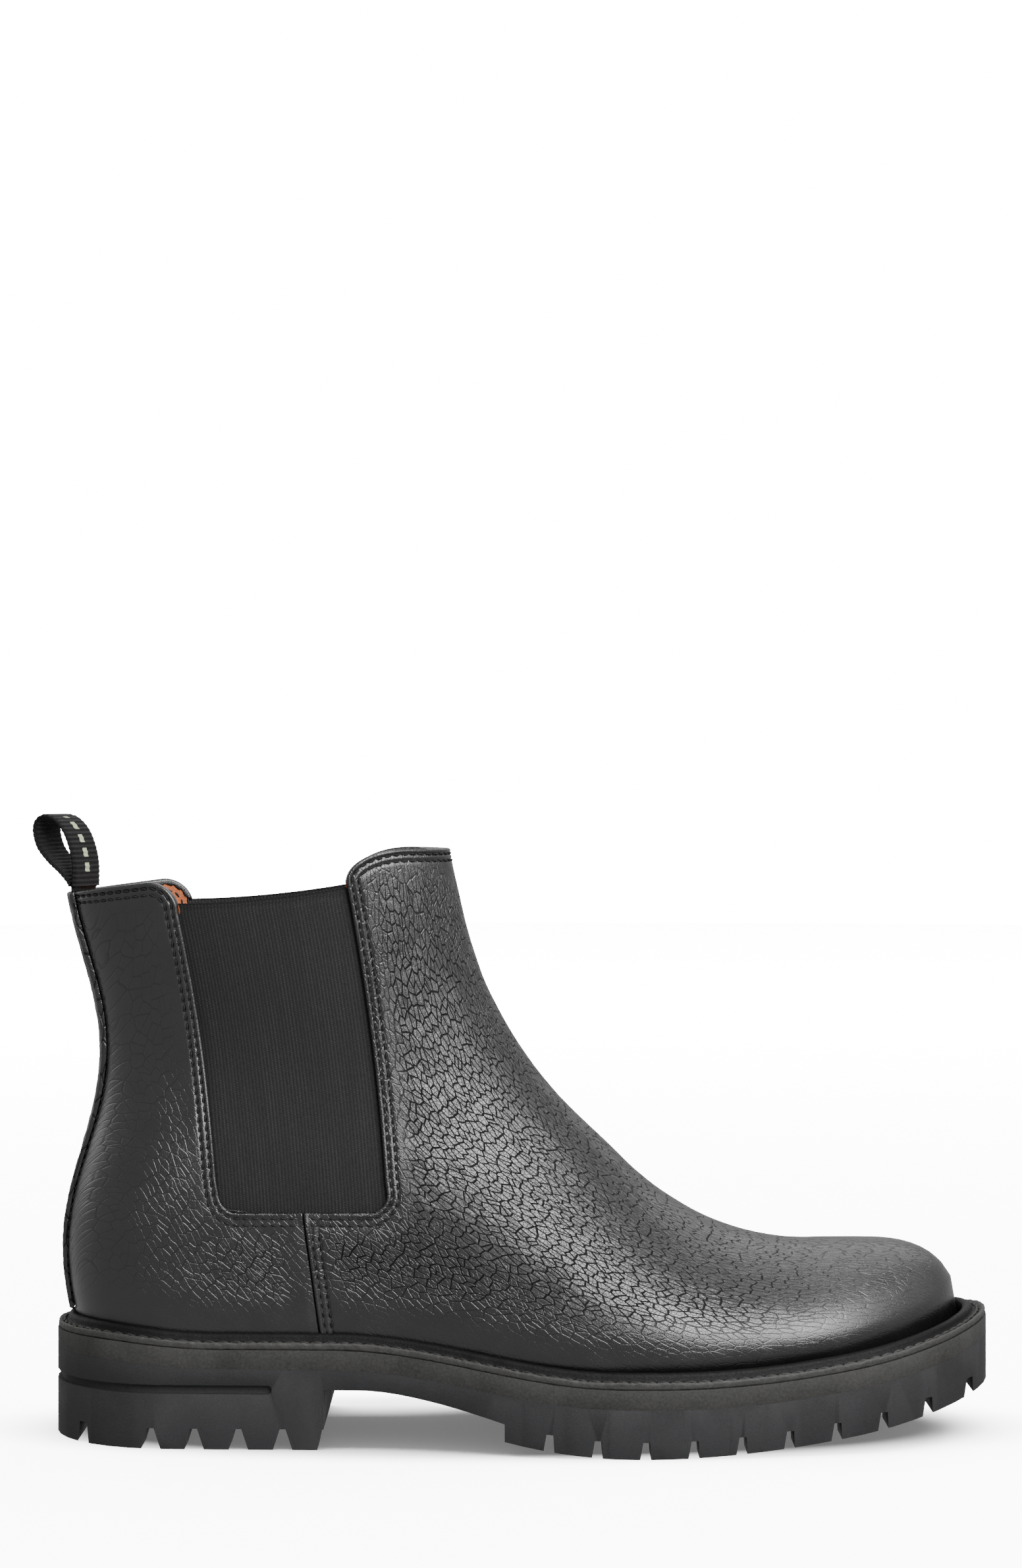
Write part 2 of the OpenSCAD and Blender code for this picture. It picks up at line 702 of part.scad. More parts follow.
// The path again, n times as fine, on a smooth curve through its points
function smooth_path(p, n = 4) = [
    for (i = [0 : len(p) - 2], k = [0 : n - (i < len(p) - 2 ? 1 : 0)])
    let (
        t = k / n,
        a = p[max(i - 1, 0)],
        d = p[min(i + 2, len(p) - 1)],
        bend_a = (p[i + 1] - a) / 2,
        bend_b = (d - p[i]) / 2,
        rise = p[i + 1] - p[i]
    )
    p[i] + t * bend_a + t * t * (3 * rise - 2 * bend_a - bend_b) + t * t * t * (bend_a + bend_b - 2 * rise)
];
// The path moved sideways by d, to the left of its direction
function beside(p, d) = [
    for (i = [0 : len(p) - 1])
    let (v = p[min(i + 1, len(p) - 1)] - p[max(i - 1, 0)])
    p[i] + d * [-v[1], v[0]] / norm(v)
];
module loop_outline() {
    middle = smooth_path(loop_path);
    inside_path = beside(middle, webbing_t / 2);
    difference() {
        polygon(beside(middle, -webbing_t / 2));
        polygon([for (i = [5 : len(middle) - 4]) inside_path[i]]);
    }
}
module loop_frame() {
    translate([hinge[0], 0, hinge[1]]) rotate([0, 0, loop_turn]) rotate([90, 0, 0]) children();
}
module pull_loop() {
    color(black)
        loop_frame()
            linear_extrude(webbing_w, center = true)
                loop_outline();
}
// Ends of the webbing, sewn between leather and lining below the loop
module pull_loop_tab() {
    centre = [for (t = steps(6)) back_at(mix(0.84, 0.992, t))];
    edge = [for (p = centre) p + [2.4, 0]];
    color(black) shell(full_grid(centre, edge, middle_out, 4, 60), full_grid(centre, edge, middle_in, 4, 60), true);
}

module place() { translate(frame_shift) children(); }

place() outsole();
place() midsole();
place() storm_welt();
place() welt_stitches();
place() insole_rib();
place() cork_filler();
place() shank();
place() insole_board();
place() heel_pad();
place() sock_liner();
place() vamp();
place() quarter_lateral();
place() quarter_medial();
place() backstay();
place() gore_lateral();
place() gore_medial();
place() toe_puff();
place() heel_counter();
place() vamp_lining();
place() quarter_lining_lateral();
place() quarter_lining_medial();
place() heel_grip();
place() window_stitches_lateral();
place() window_stitches_medial();
place() collar_stitches();
place() side_seam_stitches();
place() backstay_stitches();
place() pull_loop_tab();
place() pull_loop();
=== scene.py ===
"""Chelsea boot, right foot: the looks of every piece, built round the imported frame.

The upper is one smooth surface, y as a function of x and z for each side, the same one that the
frame's panels lie on. Shapes are worked out in millimetres from the middle of the sole and
then put in the frame in metres. +X is the toe, +Y the medial side, +Z up.
"""

import math

import bmesh
import bpy
import numpy as np
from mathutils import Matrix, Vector


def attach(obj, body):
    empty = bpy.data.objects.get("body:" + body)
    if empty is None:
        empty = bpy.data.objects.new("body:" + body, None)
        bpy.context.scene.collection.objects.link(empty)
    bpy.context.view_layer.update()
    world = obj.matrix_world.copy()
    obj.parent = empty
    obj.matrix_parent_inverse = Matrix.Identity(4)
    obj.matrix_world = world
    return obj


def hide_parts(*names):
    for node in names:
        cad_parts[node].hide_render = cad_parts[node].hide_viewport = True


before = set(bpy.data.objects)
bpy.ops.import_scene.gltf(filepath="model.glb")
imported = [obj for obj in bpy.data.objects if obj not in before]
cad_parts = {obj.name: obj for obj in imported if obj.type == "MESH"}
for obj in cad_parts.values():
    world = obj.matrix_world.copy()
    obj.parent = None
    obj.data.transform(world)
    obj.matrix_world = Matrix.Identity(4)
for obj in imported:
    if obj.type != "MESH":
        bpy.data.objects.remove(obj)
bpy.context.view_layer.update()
scene = bpy.context.scene

MM = 0.001
SHIFT = np.array([4.0, 0.0, 0.0])
SIDES = LATERAL, MEDIAL = -1, 1
NAMED_SIDES = (LATERAL, "lateral"), (MEDIAL, "medial")

# ---- sizes, in millimetres ----
LEATHER = 1.7
MIDDLE_OUT, MIDDLE_IN = 2.1, 3.1
LINING_OUT, LINING_IN = 3.5, 4.5
HEEL_X, TOE_X, TOE_STAND_OUT = -147.6, 145.5, 1.33
FRONT_TOP_Z, BACK_TOP_Z, TOE_BOX_Z = 192.0, 177.5, 62.0
SHAFT_TOP, INSTEP_HIGH, INSTEP_LOW = (-24.5, FRONT_TOP_Z), (-11.0, 130.5), (62.0, TOE_BOX_Z)
INSTEP_ROUND, TOE_ROUND = 24.0, 28.0
SECTION_POWER = 2.2
SEAT_DROP = 4.3
LATERAL_WIDTHS = [(-150, 31), (-100, 32.5), (-45, 35.5), (10, 47), (50, 50), (105, 44.5), (150, 37)]
MEDIAL_WIDTHS = [(-150, 31), (-100, 31.5), (-45, 30), (10, 35), (65, 47), (110, 43), (150, 36)]
SHAFT_WIDTHS = [(40, 33), (65, 34), (90, 31.5), (120, 28.5), (150, 28), (192, 28.5)]
TOE_SWING = 5.0
SEAM_LOW_X, SEAM_HIGH_X = -65.0, -71.0
WINDOW_Z, WINDOW_R, EDGE_BOW = 75.0, 6.0, 1.8
REAR_EDGE, FRONT_EDGE = (-98.0, -112.5, 174.0), (-44.0, -57.5, 182.0)
# edge of the window, direction away from the gore, top of the panel, radii of its corner at the collar
QUARTER = (REAR_EDGE, -1, 181.0, (10.0, 9.5))
VAMP = (FRONT_EDGE, 1, FRONT_TOP_Z, (20.0, 10.5))
GORE_MARGIN, GORE_RIBS = 7.0, 62
BACKSTAY_HALF, BACKSTAY_FOOT_Z, GRIP_HALF = 8.0, 40.2, 20.0
STITCH_ROWS = (1.9, 4.1)
HINGE, LOOP_TURN = (-145.7, 179.8), -23
TAPE_RIB, TAPE_YARN, DASH_PITCH, DASH_LENGTH = 1.6, 0.45, 4.8, 2.9

# ---- sizes in metres, and the picture's scale at the boot and height in pixels ----
RUBBER_BEVEL, WELD_GAP = 0.00035, 0.00002
STUDIO_R, AIM_HEIGHT = 4.0, 0.09
CAMERA_DISTANCE, CAMERA_HEIGHT = 1.10, 0.213
PIXELS_PER_METRE, IMAGE_HEIGHT = 4575, 2380


# ---- small helpers ----
def clamp01(t):
    return np.clip(t, 0.0, 1.0)


def ease(t):
    c = clamp01(t)
    return c * c * (3 - 2 * c)


def mix(a, b, t):
    return a + (b - a) * t


def crowded(t):
    """From 0 to 1 as t goes from 0 to 1, slower near both ends."""
    return (1 - np.cos(np.pi * t)) / 2


def smooth_max(a, b, r):
    h = np.maximum(r - np.abs(a - b), 0)
    return np.maximum(a, b) + h * h / (4 * r)


def cubic(a, b, slope_a, slope_b, t):
    """From a to b as t goes from 0 to 1, with these slopes at the ends."""
    rise = b - a
    return (a + t * slope_a + t ** 2 * (3 * rise - 2 * slope_a - slope_b)
            + t ** 3 * (slope_a + slope_b - 2 * rise))


def curve(knots, x):
    """Smooth curve through knots of (x, y)."""
    kx, ky = np.array(knots, float).T
    wide_x, wide_y = (np.pad(k, 1, mode="edge") for k in (kx, ky))
    slope = (wide_y[2:] - wide_y[:-2]) / (wide_x[2:] - wide_x[:-2])
    i = np.clip(np.searchsorted(kx, x, side="right") - 1, 0, len(kx) - 2)
    h = kx[i + 1] - kx[i]
    return cubic(ky[i], ky[i + 1], slope[i] * h, slope[i + 1] * h, clamp01((x - kx[i]) / h))


def joined(*parts):
    """Points whose x, y and so on are the parts, broadcast to one shape."""
    return np.stack(np.broadcast_arrays(*parts), axis=-1)


def lengths(p):
    """Length of a path of points up to each of its points."""
    return np.concatenate([[0], np.cumsum(np.linalg.norm(np.diff(p, axis=0), axis=1))])


def at_length(p, s, values=None):
    """Points at the lengths s along the path p, or the values that its points have."""
    run = lengths(p)
    return joined(*(np.interp(s, run, column) for column in (p if values is None else values).T))


def unit(v):
    return v / np.maximum(np.linalg.norm(v, axis=-1, keepdims=True), 1e-12)


def noise(p, seed):
    """Smooth noise from -1 to 1 at points p, whose cells are 1 wide."""
    base = np.floor(p).astype(np.int64)
    f = p - base
    f = f * f * f * (f * (f * 6 - 15) + 10)
    total = np.zeros(p.shape[:-1])
    for corner in np.ndindex(2, 2, 2):
        k = base + np.array(corner)
        h = (k[..., 0] * 73856093) ^ (k[..., 1] * 19349663) ^ (k[..., 2] * 83492791) ^ (seed * 40503)
        h = ((h ^ (h >> 13)) * 1274126177) & 0x7FFFFFFF
        h = (h ^ (h >> 15)) & 0xFFFF
        weight = np.prod(np.where(np.array(corner) == 1, f, 1 - f), axis=-1)
        total += weight * (h / 32767.5 - 1)
    return total


# ---- the surface of the upper ----
def seat_z(x):
    """Height of the seat line, where the upper meets the welt."""
    toe_spring = 13.5 * (np.maximum(0, x - 45) / 100) ** 2
    return 26.5 + 10 * ease((30 - x) / 90) + toe_spring + 2.5 * ease((-100 - x) / 40)


def back_x(z):
    return -145 - 6 * np.cos((z - 60) / 65 * math.pi)


def over_distance(x, z):
    """Distance inside the line of shaft, instep and toe top, without the turn down at the toe."""
    def inside(a, b):
        u = unit(np.array(b) - np.array(a))
        return (x - a[0]) * u[1] - (z - a[1]) * u[0]

    over = smooth_max(inside(SHAFT_TOP, INSTEP_HIGH), inside(INSTEP_HIGH, INSTEP_LOW), INSTEP_ROUND)
    return smooth_max(over, TOE_BOX_Z - z, INSTEP_ROUND)


def front_distance(x, z):
    return -smooth_max(-over_distance(x, z), x - TOE_X, TOE_ROUND)


def seat_half(x, side):
    return curve(LATERAL_WIDTHS if side == LATERAL else MEDIAL_WIDTHS, x)


def middle_y(x):
    return TOE_SWING * ease((x - 10) / 140)


def rounding(d, r):
    return 1 - (1 - clamp01(d / r)) ** SECTION_POWER


def front_reach(x):
    return np.where(x > 70, 36 + 10 * ease((x - 90) / 50), mix(36, 60, ease((70 - x) / 110)))


def back_reach(z):
    return mix(35, 60, ease((z - 70) / 80))


def section(x, z):
    return rounding(front_distance(x, z), front_reach(x)) * rounding(x - back_x(z), back_reach(z))


def half_width(x, z, side):
    return mix(seat_half(x, side), curve(SHAFT_WIDTHS, z), ease((z - seat_z(x) - 8) / 62))


def implicit(x, y, z, side):
    return ((y - middle_y(x)) / half_width(x, z, side)) ** 2 - section(x, z)


def sunk(points, normals, depth):
    """Points moved inward by depth."""
    return points - np.asarray(depth)[..., None] * normals


def surface(x, z, side, depth=0.0):
    """Points and outward normals at x, z on one side, moved inward by depth."""
    y = middle_y(x) + side * half_width(x, z, side) * np.sqrt(np.maximum(0, section(x, z)))
    steps = 0.3 * np.eye(3)
    normal = unit(joined(*(implicit(x + a, y + b, z + c, side) - implicit(x - a, y - b, z - c, side)
                           for a, b, c in steps)))
    return sunk(joined(x, y, z), normal, depth), normal


def front_at(f):
    """Points of the front profile at fractions f of its length."""
    corners = np.array([(TOE_X, seat_z(TOE_X) - SEAT_DROP), (TOE_X, TOE_BOX_Z), INSTEP_LOW, INSTEP_HIGH,
                        SHAFT_TOP])
    p = at_length(corners, f * lengths(corners)[-1])
    h = 0.2
    for _ in range(5):
        x, z = p[..., 0], p[..., 1]
        g = joined(front_distance(x + h, z) - front_distance(x - h, z),
                   front_distance(x, z + h) - front_distance(x, z - h)) / (2 * h)
        p = p - g * (front_distance(x, z) / np.sum(g * g, axis=-1))[..., None]
    return p


def back_at(f):
    z = mix(seat_z(HEEL_X) - SEAT_DROP, BACK_TOP_Z, f)
    return joined(back_x(z), z)


# ---- edges of the panels, as paths of x, z ----
def edge_x(edge, z):
    t = clamp01((z - WINDOW_Z) / (edge[2] - WINDOW_Z))
    return mix(edge[0], edge[1], t) + EDGE_BOW * 4 * t * (1 - t)


def arc(centre, radii, start, end):
    a = np.radians(np.linspace(start, end, 16))
    return joined(centre[0] + radii[0] * np.cos(a), centre[1] + radii[1] * np.sin(a))


def seam_path():
    return np.linspace((SEAM_LOW_X, seat_z(SEAM_LOW_X) - SEAT_DROP), (SEAM_HIGH_X, WINDOW_Z), 40)


def panel_edge(panel, grow=0.0):
    """From the middle of the window's lower edge, up its side and round the corner at the collar.

    The path runs grow inside the panel.
    """
    edge, away, top, radii = panel
    r = WINDOW_R + grow
    foot = (edge[0] + away * (grow - r), WINDOW_Z - grow + r)
    turn, end = ((270, 185), (0, 90)) if away < 0 else ((-90, -5), (180, 90))
    z = np.linspace(foot[1] + 4, top - radii[1] - 1.5, 40)
    up = joined(edge_x(edge, z) + away * grow, z)
    low = np.linspace((SEAM_HIGH_X, WINDOW_Z - grow), (foot[0], WINDOW_Z - grow), 12)[:-1]
    z = top - radii[1]
    head = (edge_x(edge, z) + away * radii[0], z)
    corner = arc(head, (radii[0] - grow, radii[1] - grow), *end)
    return np.concatenate([low, arc(foot, (r, r), *turn), up, corner])


# ---- grids of a panel ----
NEAR_EDGE = np.array([0, 0.12, 0.3, 0.55, 0.85, 1.2, 1.6, 1.9, 2.2, 2.6, 3.0, 3.4, 3.8, 4.1, 4.4, 4.8, 5.4,
                      6.2])
EDGE_BAND = 7.2


def marks(total, n):
    """Places from 0 to total: n even ones, then those of the band at the end."""
    return np.concatenate([np.linspace(0, total - EDGE_BAND, n), total - NEAR_EDGE[::-1]])


def half_panel(centre, edge, side, n, settle, clear):
    """x, z of a half panel's grid: rows up the panel, columns from its edge to the centre line."""
    f = np.linspace(0, 1, len(edge))[:, None]

    def place(t):
        p = mix(centre[:, None], edge[:, None], t[..., None])
        low = mix(centre[0], edge[0], t[..., None])
        fix = seat_z(low[..., 0]) - mix(seat_z(centre[0, 0]), seat_z(edge[0, 0]), t)
        p[..., 1] += fix * (1 - f) ** settle
        return p

    s = np.linspace(1, 0, 260)
    t = np.broadcast_to(clear + (1 - clear) * (1 - np.cos(s * math.pi / 2)), (len(edge), len(s)))
    p = place(t)
    points = surface(p[..., 0], p[..., 1], side)[0]
    runs = [lengths(row) for row in points]
    return place(np.array([
        np.interp(np.concatenate([NEAR_EDGE, np.linspace(EDGE_BAND, run[-1], n)]), run, tt)
        for run, tt in zip(runs, t)
    ]))


def nearest(points, path):
    """Distance of each point to a path of points."""
    flat = points.reshape(-1, 3)
    best = np.full(len(flat), 1e9)
    for start in range(0, len(path), 64):
        chunk = path[start:start + 64]
        d = np.linalg.norm(flat[:, None] - chunk[None], axis=-1).min(axis=1)
        best = np.minimum(best, d)
    return best.reshape(points.shape[:-1])


# ---- meshes ----
def add_mesh(name, points, faces, look, node, body="boot", **attributes):
    """A piece in place of a CAD node, from points in millimetres, with named values at them."""
    mesh = bpy.data.meshes.new(name)
    mesh.from_pydata(((points + SHIFT) * MM).tolist(), [], faces)
    for key, values in attributes.items():
        values = np.asarray(values, np.float32)
        kind, field = ("FLOAT_VECTOR", "vector") if values.ndim == 2 else ("FLOAT", "value")
        mesh.attributes.new(key, kind, "POINT").data.foreach_set(field, values.ravel())
    mesh.shade_smooth()
    mesh.validate()
    mesh.materials.append(LOOKS[look])
    piece = placed(name, mesh)
    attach(piece, body)
    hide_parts(node)
    return piece


def placed(name, data):
    """A new object in the scene."""
    thing = bpy.data.objects.new(name, data)
    scene.collection.objects.link(thing)
    return thing


def grid_faces(rows, cols, start=0, wrap_rows=False, wrap_cols=False):
    r = np.arange(rows if wrap_rows else rows - 1)[:, None]
    c = np.arange(cols if wrap_cols else cols - 1)[None]

    def number(i, j):
        return start + (i % rows) * cols + j % cols

    return joined(number(r, c), number(r + 1, c), number(r + 1, c + 1), number(r, c + 1)).reshape(-1, 4)


def outward(points, faces):
    """The list of four-sided faces, turned so that they enclose a positive volume."""
    a, b, c, d = (points[faces[:, k]] for k in range(4))
    volume = np.sum(a * np.cross(b, c)) + np.sum(a * np.cross(c, d))
    return (faces if volume > 0 else faces[:, ::-1]).tolist()


def shell(outer, inner):
    """Points and faces of a closed sheet between two grids."""
    rows, cols = outer.shape[:2]
    points = np.concatenate([outer.reshape(-1, 3), inner.reshape(-1, 3)])
    ids = np.arange(rows * cols).reshape(rows, cols)
    rim = np.concatenate([ids[0, :-1], ids[:-1, -1], ids[-1, :0:-1], ids[:0:-1, 0]])
    after = np.roll(rim, -1)
    wall = joined(rim, after, after + rows * cols, rim + rows * cols)
    faces = np.concatenate([grid_faces(rows, cols), grid_faces(rows, cols, rows * cols)[:, ::-1], wall])
    return points, outward(points, faces)


# ---- materials ----
class Finish:
    """A node material built round one Principled shader."""

    def __init__(self, name, **sockets):
        self.material = bpy.data.materials.new(name)
        self.material.use_nodes = True
        self.tree = self.material.node_tree
        self.shader = self.tree.nodes["Principled BSDF"]
        self.set_shader(**sockets)

    def set_shader(self, **sockets):
        self.set(self.shader, {key.replace("_", " "): value for key, value in sockets.items()})

    def set(self, node, values):
        for key, value in values.items():
            if isinstance(value, bpy.types.NodeSocket):
                self.tree.links.new(value, node.inputs[key])
            else:
                node.inputs[key].default_value = value

    def add(self, kind, values=None, **settings):
        node = self.tree.nodes.new("ShaderNode" + kind)
        for key, value in settings.items():
            setattr(node, key, value)
        self.set(node, values or {})
        return node

    def math(self, operation, a, b=0.0):
        return self.add("Math", {0: a, 1: b}, operation=operation).outputs[0]

    def vector(self, operation, *values, output=0):
        return self.add("VectorMath", dict(enumerate(values)), operation=operation).outputs[output]

    def times(self, first, *others):
        for other in others:
            first = self.math("MULTIPLY", first, other)
        return first

    def plus(self, first, *others):
        for other in others:
            first = self.math("ADD", first, other)
        return first

    def wave(self, value, period, operation="SINE"):
        return self.math(operation, self.times(value, 2 * math.pi / period))

    def attribute(self, name, output="Fac"):
        return self.add("Attribute", attribute_name=name).outputs[output]

    def weave(self):
        """Place on a woven piece, as a vector and as its parts across and along."""
        vector = self.attribute("weave", "Vector")
        parts = self.add("SeparateXYZ", {0: vector}).outputs
        return vector, parts[0], parts[1]

    def millimetres(self, scale=(1, 1, 1)):
        """Place on the object in millimetres, times scale."""
        return self.scaled(self.add("TexCoord").outputs["Object"], [k / MM for k in scale])

    def scaled(self, vector, scale):
        return self.vector("MULTIPLY", vector, scale)

    def bent(self, vector, amount, scale):
        """The vector, pushed about by noise."""
        push = self.add("TexNoise", {"Vector": vector, "Scale": scale, "Detail": 1.0}).outputs["Color"]
        return self.vector("MULTIPLY_ADD", self.vector("SUBTRACT", push, (0.5,) * 3), (amount,) * 3, vector)

    def noise(self, vector, scale, detail=3.0, roughness=0.55):
        return self.add("TexNoise", {"Vector": vector, "Scale": scale, "Detail": detail,
                                     "Roughness": roughness}).outputs["Fac"]

    def cracks(self, vector, scale, width, dimensions="3D"):
        """0 between the cells, 1 inside them."""
        edge = self.add("TexVoronoi", {"Vector": vector, "Scale": scale}, feature="DISTANCE_TO_EDGE",
                        voronoi_dimensions=dimensions).outputs["Distance"]
        return self.span(edge, 0.0, width)

    def span(self, value, low, high, to_low=0.0, to_high=1.0, smooth=True):
        return self.add("MapRange", {"Value": value, "From Min": low, "From Max": high, "To Min": to_low,
                                     "To Max": to_high},
                        interpolation_type="SMOOTHSTEP" if smooth else "LINEAR").outputs[0]

    def colours(self, value, *stops):
        ramp = self.add("ValToRGB", {"Fac": value})
        elements = ramp.color_ramp.elements
        while len(elements) < len(stops):
            elements.new(0.5)
        for element, (place, colour) in zip(elements, stops):
            element.position = place
            element.color = (*colour, 1)
        return ramp.outputs["Color"]

    def bump(self, height, depth_mm, strength, under=None):
        values = {"Height": height, "Distance": depth_mm * MM, "Strength": strength}
        if under is not None:
            values["Normal"] = under
        return self.add("Bump", values).outputs["Normal"]

    def finish(self, colour, roughness, normal):
        self.set_shader(Base_Color=colour, Roughness=roughness, Normal=normal)
        return self.material


def black_leather(name):
    """Oiled leather whose creases run along the flow of the panel; crease says how strong. The crack floors
    carry painted shade: a darker colour and a weaker reflection.
    """
    f = Finish(name)
    flow = f.attribute("flow", "Vector")
    place = f.millimetres()
    patches = f.noise(place, 0.09, 3.0)
    crease = f.times(f.attribute("crease"), f.span(patches, 0.25, 0.6, 0.75, 1.05))
    wander = f.bent(f.bent(flow, 1.1, 0.12), 0.28, 0.6)
    long_cells = f.cracks(f.scaled(wander, (0.36, 1.0, 1.0)), 0.66, 0.11, "2D")
    cross_cells = f.cracks(f.bent(f.scaled(wander, (0.6, 0.9, 1.0)), 0.2, 1.4), 1.3, 0.1, "2D")
    cells = f.times(long_cells, f.span(cross_cells, 0.0, 1.0, 0.74, 1.0, False))
    depth = f.math("SUBTRACT", 1.0, f.times(f.math("SUBTRACT", 1.0, cells), crease))
    grain = f.cracks(f.bent(place, 0.3, 2.0), 2.1, 0.4)
    pores = f.noise(place, 4.5, 2.0)
    fine = f.plus(f.times(grain, 0.65), f.times(pores, 0.35))
    swell = f.noise(f.scaled(wander, (0.3, 1.0, 1.0)), 0.85, 1.0)
    normal = f.bump(f.times(swell, crease), 0.21, 0.8, f.bump(fine, 0.028, 0.9))
    normal = f.bump(depth, 0.23, 1.0, normal)
    # painted shade: the colour falls to near black in the crack floors, where depth is low
    colour = f.colours(f.times(depth, f.span(patches, 0.3, 0.7, 0.8, 1.0)), (0.0, (0.0006,) * 3),
                       (0.6, (0.004, 0.004, 0.0041)), (1.0, (0.006, 0.006, 0.0062)))
    rough = f.plus(f.span(patches, 0.3, 0.7, 0.2, 0.26), f.times(pores, 0.08),
                   f.span(depth, 0.0, 0.8, 0.28, 0.0))
    # painted shade in the reflection: the specular level drops in the crack floors
    f.set_shader(Specular_IOR_Level=f.span(depth, 0.15, 0.92, 0.14, 0.72))
    return f.finish(colour, rough, normal)


def lining_leather(name, dark, light):
    f = Finish(name, Specular_IOR_Level=0.35)
    place = f.millimetres()
    cells = f.cracks(f.bent(place, 0.6, 0.9), 0.9, 0.12)
    patches = f.noise(place, 0.12, 4.0)
    colour = f.colours(f.times(f.span(cells, 0, 1, 0.8, 1.0, False), patches), (0.25, dark), (0.65, light))
    return f.finish(colour, f.span(patches, 0.3, 0.7, 0.55, 0.7),
                    f.bump(cells, 0.06, 0.8, f.bump(f.noise(place, 3.0), 0.08, 0.6)))


def suede(name):
    f = Finish(name, Specular_IOR_Level=0.2, Sheen_Weight=0.5, Sheen_Roughness=0.4)
    place = f.millimetres()
    nap = f.noise(place, 4.0, 4.0, 0.7)
    colour = f.colours(f.noise(place, 0.25, 4.0), (0.3, (0.13, 0.042, 0.014)), (0.7, (0.25, 0.09, 0.03)))
    return f.finish(colour, f.span(nap, 0.2, 0.8, 0.8, 0.98), f.bump(nap, 0.25, 0.8))


def elastic(name):
    """Ribbed elastic cloth: weave counts the ribs across, and top is the distance to the selvedge."""
    f = Finish(name, Specular_IOR_Level=0.3, Sheen_Weight=0.15, Sheen_Roughness=0.45)
    weave, across, along = f.weave()
    rib = f.span(f.wave(across, 1, "COSINE"), -0.7, 0.9)
    turn = f.times(f.math("FLOOR", f.plus(across, 0.5)), 0.41)
    picks = f.wave(f.plus(f.times(along, 1.35), turn), 1)
    fuzz = f.noise(f.millimetres(), 2.6, 3.0)
    broad = f.noise(f.scaled(weave, (0.35, 0.03, 1.0)), 1.0, 3.0)
    yarn = f.times(rib, f.span(picks, -0.9, 0.6, 0.62, 1.0))
    top = f.attribute("top")
    band = f.times(f.span(top, 1.5, 1.9), f.span(top, 2.6, 2.3, 1.0, 1.35))
    cloth = f.times(yarn, f.span(fuzz, 0.25, 0.75, 0.45, 1.0), f.span(broad, 0.3, 0.7, 0.8, 1.1),
                    f.span(band, 0.0, 1.35, 0.35, 1.2))
    colour = f.colours(cloth, (0.0, (0.0008, 0.0008, 0.0009)), (0.45, (0.0038, 0.004, 0.0042)),
                       (1.0, (0.019, 0.02, 0.02)))
    normal = f.bump(yarn, 0.14, 0.9, f.bump(fuzz, 0.07, 0.6))
    return f.finish(colour, f.span(fuzz, 0.3, 0.7, 0.65, 0.85), normal)


def webbing(name):
    """Grosgrain tape: ribs across it, a smooth selvedge, and a plain woven line of dashes."""
    f = Finish(name, Specular_IOR_Level=0.14, Sheen_Weight=0.06, Sheen_Roughness=0.4)
    _, across, along = f.weave()
    yarn = f.wave(across, TAPE_YARN)
    cloth = f.times(f.span(f.wave(along, TAPE_RIB), -1.0, 1.0, 0.3, 1.0), f.span(yarn, -1.0, 1.0, 0.6, 1.0))
    fuzz = f.noise(f.millimetres(), 2.5, 3.0)
    base = f.colours(f.times(cloth, f.span(fuzz, 0.25, 0.75, 0.5, 1.0)),
                     (0.0, (0.0008, 0.0008, 0.0009)), (1.0, (0.0065, 0.0062, 0.0067)))
    dashes = f.times(f.span(f.attribute("dash"), 0.45, 0.55), f.span(yarn, -0.9, 0.4, 0.55, 1.0))
    colour = f.add("Mix", {0: dashes, 6: base, 7: (0.4, 0.46, 0.3, 1)}, data_type="RGBA").outputs[2]
    normal = f.bump(cloth, 0.18, 0.9, f.bump(fuzz, 0.08, 0.6))
    return f.finish(colour, f.span(fuzz, 0.3, 0.7, 0.6, 0.85), normal)


def thread(name, dark, light, roughness):
    f = Finish(name, Specular_IOR_Level=0.3)
    ply = f.noise(f.millimetres((1, 1, 2)), 2.2, 3.0)
    colour = f.colours(ply, (0.3, dark), (0.75, light))
    return f.finish(colour, f.span(ply, 0.3, 0.7, roughness - 0.1, roughness + 0.12), f.bump(ply, 0.12, 0.8))


def rubber(name, dark, light, grain, depth):
    """Moulded rubber: fine speckle, worn corners a little lighter."""
    f = Finish(name, Specular_IOR_Level=0.3)
    place = f.millimetres()
    speckle = f.noise(place, grain, 4.0, 0.7)
    bloom = f.noise(place, 0.06, 4.0)
    worn = f.span(f.add("NewGeometry").outputs["Pointiness"], 0.52, 0.6)
    shade = f.plus(f.times(speckle, 0.5), f.times(bloom, 0.5), f.times(worn, 0.3))
    return f.finish(f.colours(shade, (0.35, dark), (0.72, light)), f.span(bloom, 0.3, 0.7, 0.62, 0.82),
                    f.bump(speckle, depth, 0.7))


def grainy(name, dark, light, scale, depth, roughness, stretch=(1, 1, 1), metallic=0.0):
    """Plain stuff for the inner pieces: grains of two colours with a matching relief."""
    f = Finish(name, Metallic=metallic)
    grain = f.noise(f.millimetres(stretch), scale, 5.0, 0.65)
    colour = f.colours(grain, (0.32, dark), (0.68, light))
    return f.finish(colour, f.span(grain, 0.3, 0.7, roughness - 0.1, min(roughness + 0.08, 1.0)),
                    f.bump(grain, depth, 0.8))


def welt_leather(name):
    """Black along the bead and the groove, and worn grey on the trimmed flange."""
    f = Finish(name)
    grain = f.noise(f.millimetres(), 1.7, 5.0, 0.65)
    trim = f.attribute("trim")
    shade = f.plus(f.times(grain, 0.45), f.times(trim, 0.5))
    colour = f.colours(shade, (0.1, (0.0006,) * 3), (0.38, (0.0035, 0.0034, 0.0033)),
                       (0.85, (0.036, 0.0355, 0.034)))
    f.set_shader(Specular_IOR_Level=f.span(trim, 0.0, 1.0, 0.14, 0.3))
    return f.finish(colour, f.span(grain, 0.3, 0.7, 0.42, 0.62), f.bump(grain, 0.2, 0.8))


